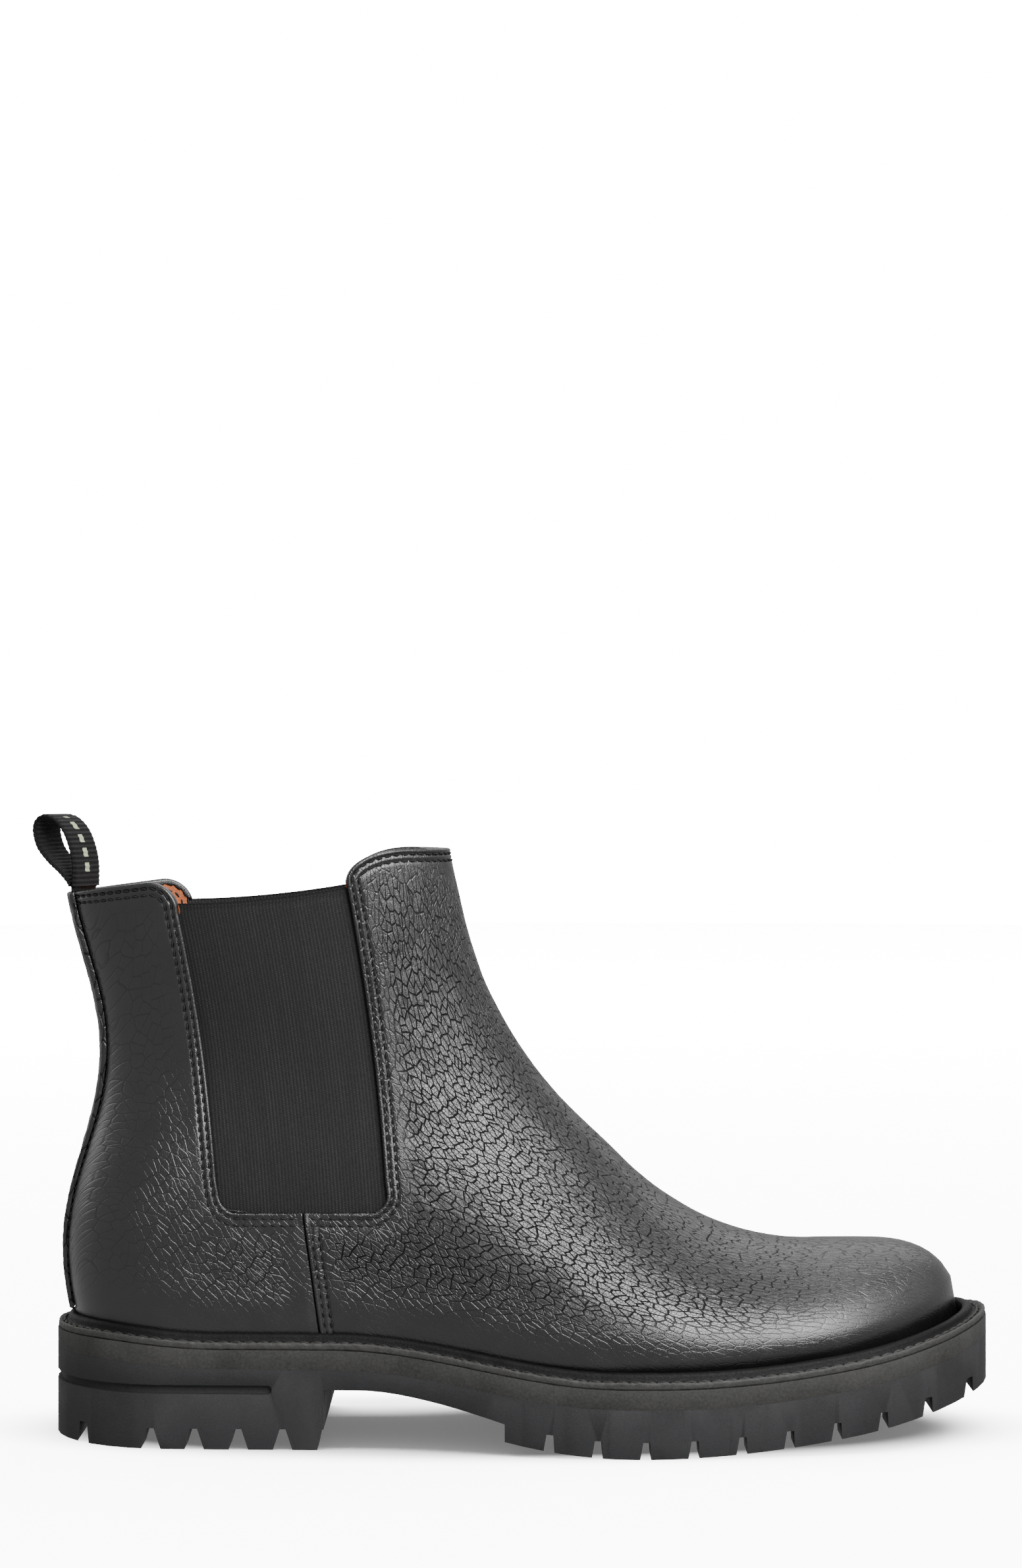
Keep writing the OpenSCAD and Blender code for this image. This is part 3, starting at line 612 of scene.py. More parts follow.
def canvas(name):
    f = Finish(name, Sheen_Weight=0.3, Specular_IOR_Level=0.2)
    parts = f.add("SeparateXYZ", {0: f.millimetres()}).outputs
    x_wave, y_wave, z_wave = (f.wave(part, 0.9) for part in parts)
    cloth = f.plus(f.times(x_wave, y_wave), z_wave)
    colour = f.colours(f.span(cloth, -1.5, 1.5), (0.1, (0.42, 0.34, 0.22)), (0.9, (0.68, 0.6, 0.45)))
    return f.finish(colour, f.span(cloth, -1, 1, 0.8, 0.95), f.bump(cloth, 0.2, 0.7))


# each look's name is the name of its material and of its slot
LOOKS = {name: make(name, *values) for name, make, *values in (
    ("black_leather", black_leather),
    ("lining_leather", lining_leather, (0.16, 0.032, 0.006), (0.36, 0.088, 0.017)),
    ("sock_leather", lining_leather, (0.36, 0.17, 0.075), (0.55, 0.3, 0.15)),
    ("suede", suede), ("elastic", elastic), ("webbing", webbing),
    ("upper_thread", thread, (0.0015,) * 3, (0.007, 0.007, 0.0075), 0.7),
    ("welt_thread", thread, (0.003,) * 3, (0.03, 0.0285, 0.026), 0.5),
    ("welt_leather", welt_leather),
    ("tread_rubber", rubber, (0.006, 0.006, 0.0066), (0.0165, 0.0165, 0.0178), 2.2, 0.09),
    ("midsole_rubber", rubber, (0.0088, 0.0087, 0.0083), (0.034, 0.0335, 0.0318), 1.1, 0.2),
    ("canvas_rib", canvas),
    ("cork", grainy, (0.16, 0.075, 0.03), (0.5, 0.3, 0.15), 0.9, 0.4, 0.9),
    ("shank_steel", grainy, (0.3, 0.3, 0.31), (0.5, 0.5, 0.52), 1.2, 0.02, 0.38, (0.05, 3, 3), 1.0),
    ("insole_leather", grainy, (0.34, 0.2, 0.1), (0.56, 0.38, 0.22), 1.4, 0.12, 0.8),
    ("foam", grainy, (0.42, 0.4, 0.33), (0.72, 0.7, 0.6), 2.4, 0.3, 0.92),
    ("stiffener", grainy, (0.5, 0.45, 0.33), (0.75, 0.7, 0.56), 2.8, 0.1, 0.85),
)}


# ---- the upper's sheets ----
class Sheet:
    """A grid over the surface of the upper: rows up the boot, columns across, on one side or both.

    Above free_z the panel's side edge is part of the collar.
    """

    def __init__(self, centre_at, edge, sides, rows, cols, settle, free_z, clear=0.0):
        total = lengths(edge)[-1]
        s = marks(total, rows)
        centre, self.edge = centre_at(s / total), at_length(edge, s)
        grids = [half_panel(centre, self.edge, side, cols, settle, clear) for side in sides]
        if len(sides) == 2:
            grids[1] = grids[1][:, ::-1][:, 1:]
        parts = [surface(g[..., 0], g[..., 1], side) for g, side in zip(grids, sides)]
        self.points, self.normals = (np.concatenate([part[k] for part in parts], axis=1) for k in (0, 1))
        self.side = np.concatenate([np.full(g.shape[:2], side) for g, side in zip(grids, sides)], axis=1)
        ends = [self.points[:, 0]] + ([self.points[:, -1]] if len(sides) == 2 else [])
        free = [end[end[:, 2] > free_z] for end in ends]
        self.to_edge = nearest(self.points, np.concatenate(ends))
        self.to_top = nearest(self.points, np.concatenate([self.points[-1]] + free))
        self.to_bottom = nearest(self.points, self.points[0])
        self.to_hem = np.minimum(self.to_edge, self.to_top)

    def at(self, depth):
        return sunk(self.points, self.normals, depth)

    def flow(self):
        """Millimetres along and across the run of the creases, which follow the front profile."""
        x, y, z = np.moveaxis(self.points, -1, 0)
        across = 0.8 * (np.abs(y - middle_y(x)) + over_distance(x, z))
        return joined(0.75 * (x - z), self.side * across, 0)


def round_edge(e, thickness):
    """How far a sheet's face falls back near an edge that is e away."""
    r = thickness / 2 - 0.06
    return r - np.sqrt(np.maximum(r * r - np.maximum(r - e, 0) ** 2, 0))


def bell(e, centre, width):
    return np.exp(-(((e - centre) / width) ** 2))


def doubled(values):
    """A grid's values, as a list for both faces of a shell over that grid."""
    return np.concatenate([values.reshape(-1, *values.shape[2:])] * 2)


def folds(points, flow, strength):
    """Relief of the leather in millimetres: soft waves and long creases along the flow."""
    wave = noise(points / 21.0, 3)
    warp = joined(noise(points / 6.0, 5), noise(points / 6.0, 6), 0)
    fine = noise((flow + 1.6 * warp) * np.array([0.13, 0.45, 1.0]), 9)
    crease = np.maximum(0, 1 - np.abs(fine) / 0.22)
    return 0.22 * wave - strength * (0.08 * crease - 0.1 * noise(flow * np.array([0.1, 0.3, 1.0]), 12))


def leather_panel(name, sheet, strength, lap):
    """A leather panel with rolled edges, a valley under each row of stitches, and creases.

    lap lifts its edge at the side seam, where the front panel lies over the rear one. The rear
    one, whose lap is negative, has no roll and no valleys there.
    """
    flow = sheet.flow()
    e = sheet.to_hem
    quiet = ease((e - 4.5) / 8)
    relief = folds(sheet.points, flow, strength) * (0.25 + 0.75 * quiet)
    at_seam = ease((WINDOW_Z - 1 - sheet.edge[:, 1:]) / 3)
    pressed = 1 - at_seam if lap < 0 else 1.0
    rolled = pressed * (0.3 * bell(e, 0.9, 0.75) + 0.12 * bell(e, sum(STITCH_ROWS) / 2, 0.6))
    valleys = pressed * sum(0.34 * bell(e, m, 0.42) for m in STITCH_ROWS)
    lift = lap * (1 - ease(sheet.to_edge / 3.5)) * at_seam
    rim = round_edge(np.minimum(e, sheet.to_bottom), LEATHER)
    outer = rim - relief - rolled + valleys - lift
    fold = 1.5 * (1 - ease((sheet.to_top - 1.9) / 0.5))
    inner = LEATHER + fold - rim * (1 + fold) - np.minimum(lift, 0)
    crease = strength * (0.35 + 0.65 * quiet)
    add_mesh(f"{name}_leather", *shell(sheet.at(outer), sheet.at(np.maximum(inner, outer + 0.1))),
             "black_leather", name, flow=doubled(flow), crease=doubled(crease))


def lining(name, sheet):
    """Lining, tucked into the roll of the leather, against it at the collar and deeper below."""
    top = sheet.to_top
    thin = round_edge(sheet.to_hem, 1.0)
    outer = mix(LEATHER + 0.15, LINING_OUT, ease((top - 1.0) / 8))
    outer = outer + 0.2 * thin - 0.12 * noise(sheet.points / 9.0, 21)
    inner = outer + LINING_IN - LINING_OUT - thin
    inner = inner - 0.16 * sum(bell(top, m, 0.4) for m in STITCH_ROWS)
    inner = inner + 0.12 * noise(sheet.points / 4.0, 22) * ease((top - 3) / 6)
    tuck = 1 - ease(top / 1.4)
    outer, inner = mix(outer, 0.95, tuck), mix(inner, 1.12, tuck)
    add_mesh(f"{name}_leather", *shell(sheet.at(outer), sheet.at(np.maximum(inner, outer + 0.15))),
             "lining_leather", name)


def make_vamp():
    """Front panel, whose creases are weaker near the welt, over the toe and at the collar."""
    edge = np.concatenate([seam_path()[:-1], panel_edge(VAMP)])
    settle, crowd = 5, 1 / 1.8
    sheet = Sheet(lambda f: front_at(f ** crowd), edge, SIDES, 176, 78, settle, FRONT_EDGE[2])
    x, _, z = np.moveaxis(sheet.points, -1, 0)
    low = ease((z - seat_z(x) - 4) / 20)
    strength = (0.12 + 0.88 * low) * (1 - 0.5 * ease((x - 62) / 50)) * (1 - 0.25 * ease((z - 150) / 35))
    leather_panel("vamp", sheet, strength, 0.5)
    inside = Sheet(lambda f: front_at(0.997 * f ** crowd), edge, SIDES, 90, 36, settle, FRONT_EDGE[2])
    lining("vamp_lining", inside)


def make_quarter(side, word):
    """Rear side panel, whose creases fade at the welt and are strongest low down towards the vamp."""
    edge, settle = np.concatenate([seam_path()[:-1], panel_edge(QUARTER)]), 8
    sheet = Sheet(back_at, edge, (side,), 150, 70, settle, REAR_EDGE[2], 0.0006)
    x, _, z = np.moveaxis(sheet.points, -1, 0)
    low = ease((z - seat_z(x) - 3) / 16)
    front = ease((x + 118) / 30) * ease((125 - z) / 45)
    leather_panel(f"quarter_{word}", sheet, (0.1 + 0.9 * low) * (0.34 + 0.3 * front), -0.35)
    lining(f"quarter_lining_{word}", Sheet(back_at, edge, (side,), 76, 34, settle, REAR_EDGE[2], 0.004))


def strip_depth(z, half):
    """How far in front of the back edge the upper is half wide."""
    return back_reach(z) * (1 - (1 - (half / curve(SHAFT_WIDTHS, z)) ** 2) ** (1 / SECTION_POWER))


def back_strip(z, half, cols, taper=1.0):
    """Points and normals of a strip over the back seam, and the place across it before its taper."""
    across = np.linspace(half, 0, cols) + 0 * z[:, None]
    zz = z[:, None] + 0 * across
    halves = [surface(back_x(zz) + strip_depth(zz, across * taper), zz, side) for side in SIDES]
    both = [np.concatenate([halves[0][k], halves[1][k][:, ::-1][:, 1:]], axis=1) for k in (0, 1)]
    return *both, np.concatenate([-across, across[:, ::-1][:, 1:]], axis=1)


def make_backstay():
    """Folded leather strip, domed, with fine crinkles along it and its ends rounded off."""
    z = np.concatenate([np.linspace(BACKSTAY_FOOT_Z, 170, 250), np.linspace(170.4, BACK_TOP_Z, 24)])
    points, normals, across = back_strip(z, BACKSTAY_HALF, 14)
    e = BACKSTAY_HALF - np.abs(across)
    along = points[..., 2]
    crinkle = noise(joined(along / 5.0, across / 0.75, 0), 31)
    cross = noise(joined(along / 1.6, across / 2.6, 0), 32)
    lift = 1.5 - round_edge(e, 2.2) + 0.13 * crinkle + 0.1 * cross
    lift = lift + 0.25 * bell(e, 0.9, 0.6) - 0.2 * bell(e, 1.9, 0.4)
    ends = np.minimum(BACK_TOP_Z - along, along - BACKSTAY_FOOT_Z)
    lift = lift - round_edge(np.maximum(ends, 0), 2.0)
    sheet = shell(sunk(points, normals, -np.maximum(lift, 0.35)), sunk(points, normals, -0.22))
    add_mesh("backstay_leather", *sheet, "black_leather", "backstay",
             flow=doubled(joined(along * 0.5, across * 1.3, 0)), crease=np.full(len(sheet[0]), 0.7))


def make_heel_grip():
    """Suede patch over the back of the lining, narrower towards its top."""
    low, high = 0.1, 0.94
    f = np.linspace(low, high, 70)
    z = mix(seat_z(HEEL_X) - SEAT_DROP, BACK_TOP_Z, f)
    points, normals, across = back_strip(z, GRIP_HALF, 24, 1 - 0.22 * ((f - low) / (high - low))[:, None])
    zz = points[..., 2]
    e = np.minimum(np.minimum(GRIP_HALF - np.abs(across), zz - z[0]), z[-1] - zz)
    nap = 0.1 * noise(points / 2.2, 41)
    outer = sunk(points, normals, LINING_IN + 0.25)
    inner = sunk(points, normals, LINING_IN + 1.15 + nap - round_edge(e, 0.9))
    add_mesh("heel_grip_suede", *shell(outer, inner), "suede", "heel_grip")


def make_gore(side, word):
    """Elastic panel: ribs run up it, and a flat selvedge closes the top."""
    rows, per_rib = 120, 6
    v = np.linspace(0, 1, rows)[:, None]
    u = np.linspace(0, 1, GORE_RIBS * per_rib + 1)
    z = mix(WINDOW_Z - GORE_MARGIN, REAR_EDGE[2], v) + (FRONT_EDGE[2] - 1 - REAR_EDGE[2]) * u * u * v * v
    x = mix(edge_x(REAR_EDGE, z) - GORE_MARGIN, edge_x(FRONT_EDGE, z) + GORE_MARGIN, u)
    points, normals = surface(x, z, side)
    top = nearest(points, points[-1])
    rib = 0.1 * np.cos(u * GORE_RIBS * 2 * math.pi) * ease((top - 1.7) / 0.5)
    lip = 0.22 * bell(top, 0.9, 0.7) - 0.15 * bell(top, 1.9, 0.3)
    hollow = 0.5 * (0.35 * noise(points / 26.0, 51) + 0.35)
    thin = round_edge(top, 1.0)
    outer = MIDDLE_OUT + 0.18 + rib - lip + thin + hollow
    inner = MIDDLE_IN - 0.1 + rib - thin + hollow
    sheet = shell(sunk(points, normals, outer), sunk(points, normals, inner))
    piece = add_mesh(f"gore_{word}_cloth", *sheet, "elastic", f"gore_{word}",
                     weave=doubled(joined(u * GORE_RIBS, z, 0)), top=doubled(top))


# ---- stitches ----
def on_surface(x, z, side, depth=0.0):
    """Points and normals of a path at x, z."""
    return surface(x + 0 * z, z, side, depth + 0 * z)


def stitches(name, rows, radius, pitch, look, node, slant, fill=0.74, sink=0.45):
    """Short laid threads along rows of (points, normals); each end dives into the leather."""
    rings, sides = 7, 8
    tube_faces, caps = grid_faces(rings, sides, wrap_cols=True), np.arange(sides)
    verts, faces = [], []
    start = 0
    u = np.linspace(0, 1, rings)
    arch = np.sin(np.pi * (0.08 + 0.84 * u)) ** 0.6
    angle = np.linspace(0, 2 * np.pi, sides, endpoint=False)
    r = radius * (0.55 + 0.45 * np.sin(np.pi * (0.1 + 0.8 * u)))[:, None]
    r = r * (1 + 0.13 * np.cos(2 * angle + 9 * u[:, None]))
    for points, normals in rows:
        total = lengths(points)[-1]
        count = max(int(total / pitch), 1)
        s = (np.arange(count)[:, None] + 0.5 + fill * (u - 0.5)) * total / count
        place, up = at_length(points, s), unit(at_length(points, s, normals))
        across = unit(np.cross(unit(np.gradient(place, axis=1)), up))
        jitter = noise(joined(*[np.arange(count) * 1.7 + start * 0.01] * 3), 61)[:, None]
        centre = (place + up * ((arch - 1)[:, None] * sink)
                  + across * (slant * (2 * u - 1) + 0.07 * jitter)[..., None])
        tube = (centre[:, :, None] + across[:, :, None] * (r * np.cos(angle))[..., None]
                + up[:, :, None] * (r * np.sin(angle))[..., None])
        verts.append(tube.reshape(-1, 3))
        firsts = start + np.arange(count) * rings * sides
        faces += (tube_faces + firsts[:, None, None]).reshape(-1, 4).tolist()
        for first in firsts:
            faces += [(first + caps[::-1]).tolist(), (first + (rings - 1) * sides + caps).tolist()]
        start += count * rings * sides
    add_mesh(name, np.concatenate(verts), faces, look, node)


def seam_thread(name, node, rows):
    stitches(name, rows, 0.38, 3.0, "upper_thread", node, 0.16)


def make_upper_stitches():
    for side, word in NAMED_SIDES:
        rows = [on_surface(*panel_edge(panel, m)[1:].T, side, 0.02)
                for m in STITCH_ROWS for panel in (QUARTER, VAMP)]
        seam_thread(f"window_{word}_thread", f"window_stitches_{word}", rows)

    tops = []
    for m in STITCH_ROWS:
        z = FRONT_TOP_Z - m
        half = np.linspace(panel_edge(VAMP, m)[-1], (front_edge_x(z) - 0.05, z), 60)
        lateral, medial = on_surface(*half.T, LATERAL), on_surface(*half[::-1].T, MEDIAL)
        tops.append([tuple(np.concatenate([lateral[k], medial[k][1:]]) for k in (0, 1))])
        z = BACK_TOP_Z - m
        path = np.linspace(panel_edge(QUARTER, m)[-1], (back_x(z) + strip_depth(z, 5.0), z), 30)
        tops[-1] += [on_surface(*path.T, side) for side in SIDES]
    rows = tops[0] + tops[1]
    for m, top, depth in zip(STITCH_ROWS, tops, (3.2, 3.35)):
        for side in SIDES:
            for panel in (QUARTER, VAMP):
                edge = panel_edge(panel, m)
                points, normals = on_surface(*edge[edge[:, 1] > WINDOW_Z + 60].T, side, depth)
                rows.append((points, -normals))
        rows += [(sunk(*row, depth), -row[1]) for row in top]
    seam_thread("collar_thread", "collar_stitches", rows)

    z = np.linspace(WINDOW_Z - 6.5, seat_z(SEAM_LOW_X) + 1.2, 30)
    seam_x = mix(SEAM_HIGH_X, SEAM_LOW_X, (WINDOW_Z - z) / (WINDOW_Z - seat_z(SEAM_LOW_X) + SEAT_DROP))
    seam_thread("side_seam_thread", "side_seam_stitches",
                [on_surface(seam_x + m + 0.3, z, side) for side in SIDES for m in STITCH_ROWS])

    z = np.linspace(BACKSTAY_FOOT_Z + 2.3, BACK_TOP_Z - 4, 120)
    seam_thread("backstay_thread", "backstay_stitches",
                [on_surface(back_x(z) + strip_depth(z, BACKSTAY_HALF + 1.1), z, side) for side in SIDES])


def front_edge_x(z):
    """x of the front profile at a height on the shaft."""
    x = np.linspace(-40, 0, 2001)
    return x[np.argmin(np.abs(front_distance(x, z)))]


# ---- welt and footbed ----
def outline_reach(x, grow):
    """Share of the outline's full width at x, grow outside the foot of the upper."""
    toe = TOE_X + TOE_STAND_OUT * grow
    return np.sqrt(np.maximum(0, rounding(x - HEEL_X + grow, 35 + grow) * rounding(toe - x, 46 + grow)))


def outline_point(t, side, grow):
    """Point of the outline, from the heel to the toe as t goes from 0 to 1."""
    x = mix(HEEL_X - grow, TOE_X + TOE_STAND_OUT * grow, crowded(t))
    return x, middle_y(x) + side * (seat_half(x, side) + grow) * outline_reach(x, grow)


def ring(profile, n):
    """A profile of (grow, height above the seat line) at 2n places, evenly spaced round the outline."""
    t = np.linspace(0, 1, 1200)
    run = lengths(joined(*outline_point(t, LATERAL, 3.0)))
    t = np.interp(np.linspace(0, 1, n + 1), t, np.interp(np.linspace(0, run[-1], len(t)), run, t))
    grow, height = np.array(profile, float).T
    halves = []
    for side, tt in ((LATERAL, t[:-1]), (MEDIAL, t[:0:-1])):
        x, y = outline_point(tt[:, None], side, grow)
        halves.append(joined(x, y, seat_z(x) + height))
    return np.concatenate(halves)


def make_welt():
    """Storm welt: an upright bead along the upper, a stitched groove and a trimmed flange."""
    profile = [(0.4, -0.5), (0.55, -0.12), (0.95, 0.1), (1.5, 0.12), (2.05, -0.08), (2.5, -0.55),
               (2.75, -1.2), (2.9, -1.9), (3.15, -2.35), (3.6, -2.7), (4.2, -2.85), (4.8, -2.75),
               (5.2, -2.42), (5.55, -2.32), (5.85, -2.42), (6.02, -2.75), (6.05, -3.4), (6.0, -4.1),
               (5.9, -4.68), (3.0, -4.68), (0.4, -4.68), (0.4, -2.5)]
    grow = np.array(profile)[:, 0]
    points = ring(profile, 620)
    rows, cols = points.shape[:2]
    normal = unit(np.cross(np.gradient(points, axis=1), np.gradient(points, axis=0)))
    fine = (0.03 + 0.14 * ease((grow - 4.6) / 0.8)) * noise(points / 1.1, 71)
    rough = 0.08 * noise(points / 5.0, 72) + fine
    points = (points + rough[..., None] * normal).reshape(-1, 3)
    faces = outward(points, grid_faces(rows, cols, wrap_rows=True, wrap_cols=True))
    add_mesh("storm_welt_leather", points, faces, "welt_leather", "storm_welt",
             trim=np.tile(ease((grow - 4.3) / 0.9), rows))
    groove = ring([(4.15, -2.5)], 700)[:, 0]
    groove = np.concatenate([groove, groove[:1]])
    stitches("welt_thread_row", [(groove, np.tile([0.0, 0.0, 1.0], (len(groove), 1)))], 0.52, 4.3,
             "welt_thread", "welt_stitches", 0.28, fill=0.86, sink=0.5)


def insole_grid(x, grow, cols):
    """Grid of points over the insole: rows at x, columns from the lateral to the medial edge."""
    lateral, medial = ((seat_half(x, side) + grow) * outline_reach(x, grow) for side in SIDES)
    across = np.sin(np.linspace(-1, 1, cols) * math.pi / 2)
    y = middle_y(x)[:, None] + np.where(across < 0, lateral[:, None], medial[:, None]) * across
    return np.broadcast_to(x[:, None], y.shape), y


def plate(x, y, low, high, round_r):
    """Closed sheet over a grid, low to high above the seat line, with its top edge rounded."""
    flat = joined(x, y, 0)
    rim = nearest(flat, np.concatenate([flat[:, 0], flat[:, -1], flat[0], flat[-1]]))
    top = seat_z(x) + high - round_edge(rim, 2 * round_r + 0.12)
    return shell(joined(x, y, top), joined(x, y, seat_z(x) + low))


def make_footbed():
    """Leather sock, dished under the heel and the ball, over a crowned foam pad."""
    grow, pad_grow, gap, pad_end_x = -LINING_IN - 2.1, -LINING_IN - 5.1, 0.05, -72.0
    toe = TOE_X + TOE_STAND_OUT * grow
    x, y = insole_grid(mix(HEEL_X - grow + gap, toe - gap, crowded(np.linspace(0, 1, 220))), grow, 60)
    rise = 3.3 * ease((-58 - x) / 12)
    bed = joined(x, y, 0)
    heel, ball = np.hypot((x + 118) / 22, y / 18), np.hypot((x - 55) / 34, y / 26)
    dish = (0.5 * bell(heel, 0, 1) + 0.4 * bell(ball, 0, 1)
            - 0.12 * noise(bed / 7.0, 91) - 0.05 * noise(bed / 2.0, 92))
    sock = plate(x, y, -0.25 + rise, 1.0 + rise - dish, 0.5)
    add_mesh("sock_liner_leather", *sock, "sock_leather", "sock_liner")
    x, y = insole_grid(mix(HEEL_X - pad_grow + gap, pad_end_x, crowded(np.linspace(0, 1, 90))), pad_grow, 40)
    pad = add_mesh("heel_pad_foam", *plate(x, y, -0.25, 2.55, 1.2), "foam", "heel_pad")


# ---- pull loop, as paths of (forward, up) from the hinge ----
LOOP_PATH = [(0.75, -0.6), (0.7, 0.6), (0.6, 6.5), (-0.7, 12.5), (-3.2, 18), (-6.8, 21.6), (-10.8, 22.6),
             (-13.5, 20.9), (-14.3, 17.3), (-12.8, 12.2), (-9, 7.8), (-4.4, 4), (-1.2, 0.6), (-0.8, -0.6)]
TAB_PATH = [(0.1, -0.3), (-0.3, -2.2), (-1.0, -4.6), (-1.3, -8.0)]


def smooth_path(points, n):
    """Evenly spaced points on a smooth curve through the given ones."""
    p = np.array(points, float)
    t = np.linspace(0, 1, 24, endpoint=False)[:, None]
    before, after = [p[0], *p[:-2]], [*p[2:], p[-1]]
    spans = [cubic(p[i], p[i + 1], (p[i + 1] - before[i]) / 2, (after[i] - p[i]) / 2, t)
             for i in range(len(p) - 1)]
    fine = np.concatenate(spans + [p[-1:]])
    return at_length(fine, np.linspace(0, lengths(fine)[-1], n))


def ribbon(name, path, width, thickness, turns, body, node):
    """Ribbed tape along a path from the hinge.

    It is turned about the upright axis, from the first of turns to the second, in degrees.
    """
    middle = smooth_path(path, 340)
    run = lengths(middle)[:, None]
    tangent = unit(np.gradient(middle, axis=0))
    out = joined(tangent[:, 1], -tangent[:, 0])[:, None]
    w = np.linspace(-0.5, 0.5, 26)
    rib = 0.5 + 0.5 * np.cos(run * 2 * math.pi / TAPE_RIB)
    edge = ease((0.5 - np.abs(w)) * width / 1.1)
    half = thickness / 2 * (0.72 + 0.28 * rib) * (0.45 + 0.55 * edge)
    across = w * width * (1 + 0.014 * rib)
    sway = across + 0.25 * noise(joined(run / 14.0, 0, 0), 81)
    turn = np.radians(mix(*turns, run / run[-1]))
    c, s = np.cos(turn), np.sin(turn)
    layers = []
    for sign in (1, -1):
        forward, up = np.moveaxis(middle[:, None] + sign * half[..., None] * out, -1, 0)
        layers.append(joined(forward * c - sway * s + HINGE[0], forward * s + sway * c, up + HINGE[1]))
    dash = (np.abs(across) < 1.1) & (run > 4) & (run < 25) & (run % DASH_PITCH < DASH_LENGTH)
    add_mesh(name, *shell(*layers), "webbing", node, body,
             weave=doubled(joined(across, run, 0)), dash=np.concatenate([dash.ravel(), 0 * dash.ravel()]))


# ---- everything in place ----
make_vamp()
for which, label in NAMED_SIDES:
    make_quarter(which, label)
    make_gore(which, label)
make_backstay()
make_heel_grip()
make_upper_stitches()
make_welt()
make_footbed()
ribbon("pull_loop_webbing", LOOP_PATH, 17.0, 1.5, (LOOP_TURN, LOOP_TURN), "loop", "pull_loop")
ribbon("pull_loop_tab_webbing", TAB_PATH, 16.6, 1.4, (LOOP_TURN, -4), "boot", "pull_loop_tab")

CAD_LOOKS = {"outsole": "tread_rubber", "midsole": "midsole_rubber", "insole_rib": "canvas_rib",
             "cork_filler": "cork", "shank": "shank_steel", "insole_board": "insole_leather",
             "toe_puff": "stiffener", "heel_counter": "stiffener"}


def smooth_by_angle():
    """Node group that shades smooth except across sharp corners."""
    group = bpy.data.node_groups.new("smooth_by_angle", "GeometryNodeTree")
    for way in ("INPUT", "OUTPUT"):
        group.interface.new_socket("Geometry", in_out=way, socket_type="NodeSocketGeometry")
    start, end, angle, compare, faces, edges = (group.nodes.new(kind) for kind in (
        "NodeGroupInput", "NodeGroupOutput", "GeometryNodeInputMeshEdgeAngle", "FunctionNodeCompare",
        "GeometryNodeSetShadeSmooth", "GeometryNodeSetShadeSmooth"))
    compare.operation = "LESS_THAN"
    compare.inputs[1].default_value = math.radians(28)
    edges.domain = "EDGE"
    for a, b in ((start.outputs[0], faces.inputs[0]), (faces.outputs[0], edges.inputs[0]),
                 (angle.outputs[0], compare.inputs[0]), (compare.outputs[0], edges.inputs["Shade Smooth"]),
                 (edges.outputs[0], end.inputs[0])):
        group.links.new(a, b)
    return group


smoothing = smooth_by_angle()
for node, look in CAD_LOOKS.items():
    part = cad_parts[node]
    for slot in part.material_slots:
        slot.material = LOOKS[look]
    part.modifiers.new("weld", "WELD").merge_threshold = WELD_GAP
    if "rubber" in look:
        bevel = part.modifiers.new("edges", "BEVEL")
        bevel.width, bevel.segments, bevel.limit_method = RUBBER_BEVEL, 2, "ANGLE"
        bevel.angle_limit = math.radians(35)
    part.modifiers.new("smooth", "NODES").node_group = smoothing


# ---- floor, light and camera ----
def floor_paint():
    """Pale matt paint with a painted glow: faint in a patch the shape of the boot's footprint, so the shadow
    stays only under the boot, and growing outward to meet the overexposed backdrop.
    """
    f = Finish("floor_paint", Roughness=0.9, Specular_IOR_Level=0.0, Base_Color=(0.9, 0.9, 0.9, 1),
               Emission_Color=(1, 1, 1, 1))
    place = f.add("TexCoord").outputs["Object"]
    near, far = (f.vector("LENGTH", f.scaled(place, stretch), output="Value")
                 for stretch in ((0.34, 1, 1), (1, 1, 1)))
    # painted light: glow 0.15 inside the footprint ellipse and 6 outside it, which washes out the shadow
    # beyond the sole
    f.set_shader(Emission_Strength=f.plus(f.span(near, 0.046, 0.066, 0.15, 6.0),
                                          f.span(far, 0.22, 2.4, 0.0, 7.0)))
    return f.material


def backdrop_glow():
    return Finish("backdrop_glow", Base_Color=(0, 0, 0, 1), Emission_Color=(1, 1, 1, 1),
                  Emission_Strength=17.0).material


def studio_piece(name, build, material, **sizes):
    """A floor or backdrop that the boot doesn't mirror."""
    form = bmesh.new()
    build(form, radius=STUDIO_R, **sizes)
    mesh = bpy.data.meshes.new(name)
    form.to_mesh(mesh)
    form.free()
    mesh.materials.append(material)
    mesh.shade_smooth()
    thing = placed(name, mesh)
    thing.visible_glossy = thing.visible_diffuse = False
    return thing


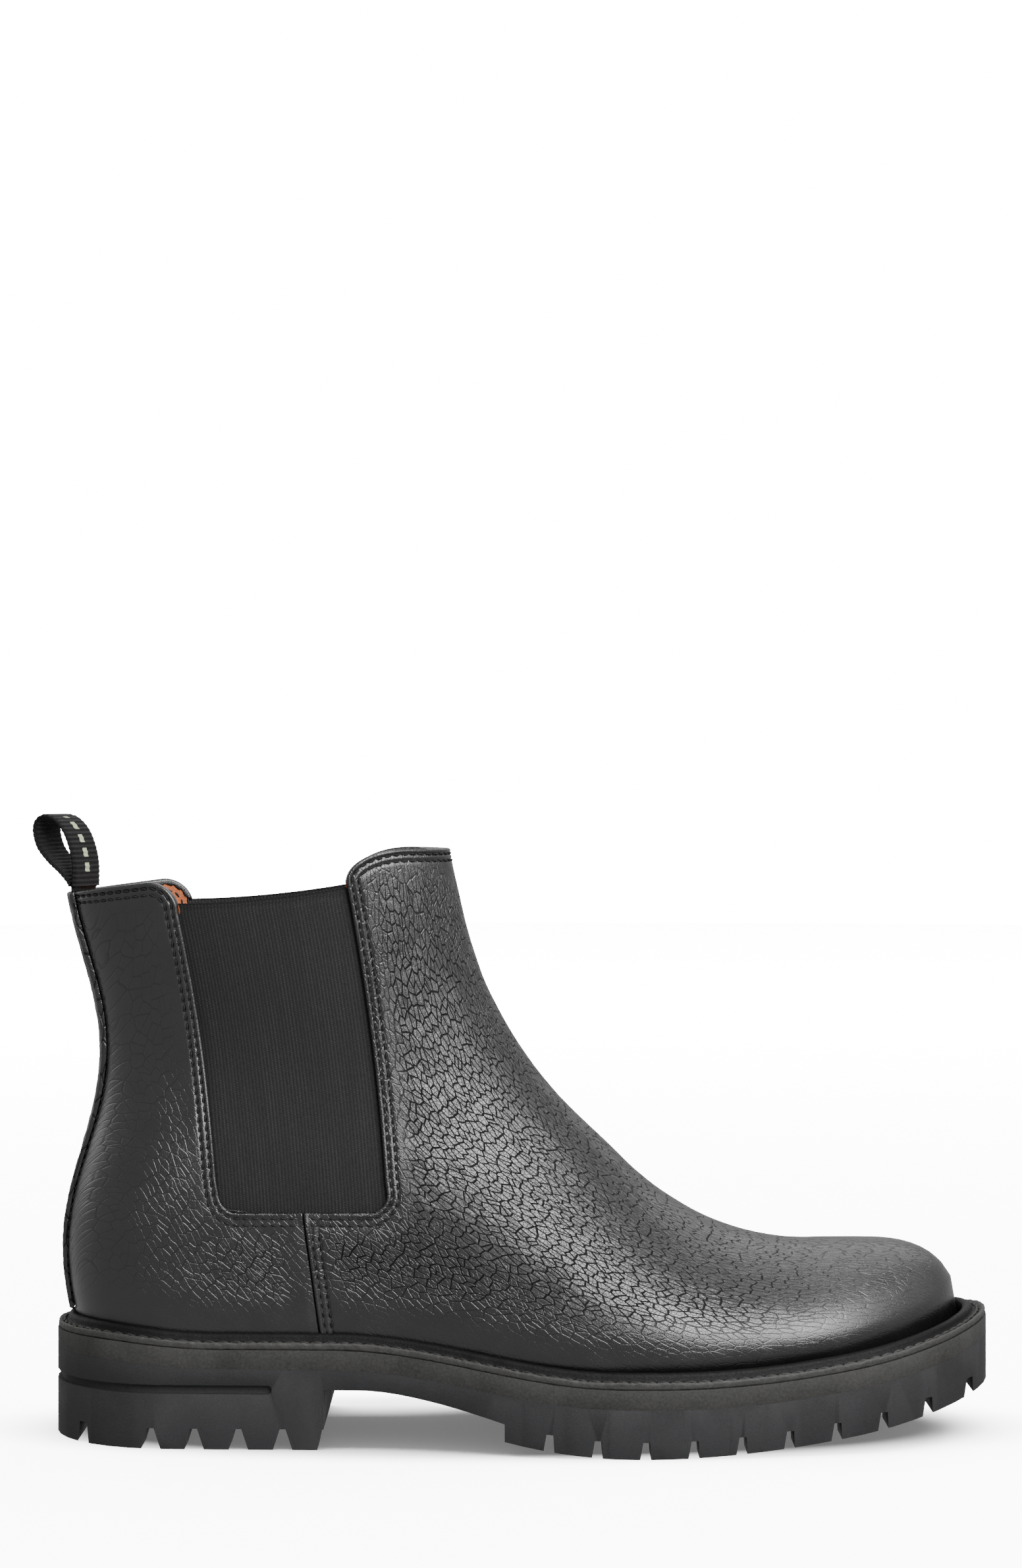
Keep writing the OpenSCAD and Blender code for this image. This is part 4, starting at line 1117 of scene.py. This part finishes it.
floor = studio_piece("floor", bmesh.ops.create_circle, floor_paint(), cap_ends=True, segments=64)
backdrop = studio_piece("backdrop", bmesh.ops.create_uvsphere, backdrop_glow(), u_segments=48, v_segments=24)
backdrop.visible_shadow = False


def softbox(name, azimuth, elevation, distance, size, radiance):
    """A soft light that aims at the boot; azimuth turns from the lateral side to the toe."""
    data = bpy.data.lights.new(name, "AREA")
    data.shape, data.size, data.size_y = "RECTANGLE", *size
    data.energy = radiance * math.pi * size[0] * size[1]
    lamp = placed(name, data)
    a, e = math.radians(azimuth), math.radians(elevation)
    away = Vector((math.cos(e) * math.sin(a), -math.cos(e) * math.cos(a), math.sin(e)))
    lamp.location = Vector((0, 0, AIM_HEIGHT)) + distance * away
    lamp.rotation_euler = away.to_track_quat("Z", "Y").to_euler()
    lamp.visible_camera = False
    return lamp


only_floor, not_floor = (bpy.data.collections.new(name) for name in ("only_floor", "not_floor"))
for group in (only_floor, not_floor):
    group.objects.link(floor)
not_floor.collection_objects[0].light_linking.link_state = "EXCLUDE"
# name, azimuth, elevation, distance, size and radiance of each light
for row in (("key", 36, 37, 1.6, (1.5, 1.35), 4.3), ("key_core", 23, 37, 1.55, (0.75, 1.1), 12.5),
            ("toe_side", 88, 28, 1.7, (1.0, 1.0), 0.7), ("overhead", 90, 86, 1.6, (1.2, 1.4), 1.0),
            ("far_side", 160, 42, 1.8, (1.6, 1.0), 1.6), ("heel_side", -125, 25, 1.8, (1.0, 1.2), 1.2)):
    softbox(*row).light_linking.receiver_collection = not_floor
softbox("ceiling", 180, 74, 2.6, (5.0, 3.5), 13.0).light_linking.receiver_collection = only_floor

world = bpy.data.worlds.new("studio")
world.use_nodes = True
background = world.node_tree.nodes["Background"].inputs
background["Color"].default_value, background["Strength"].default_value = (1, 1, 1, 1), 0.58
scene.world = world

camera_data = bpy.data.cameras.new("camera")
camera_data.sensor_width = 36
camera_data.lens = PIXELS_PER_METRE * CAMERA_DISTANCE / IMAGE_HEIGHT * camera_data.sensor_width
camera = placed("camera", camera_data)
camera.location = (0, -CAMERA_DISTANCE, CAMERA_HEIGHT)
camera.rotation_euler = (math.pi / 2, 0, 0)
scene.camera = camera

bpy.context.view_layer.update()
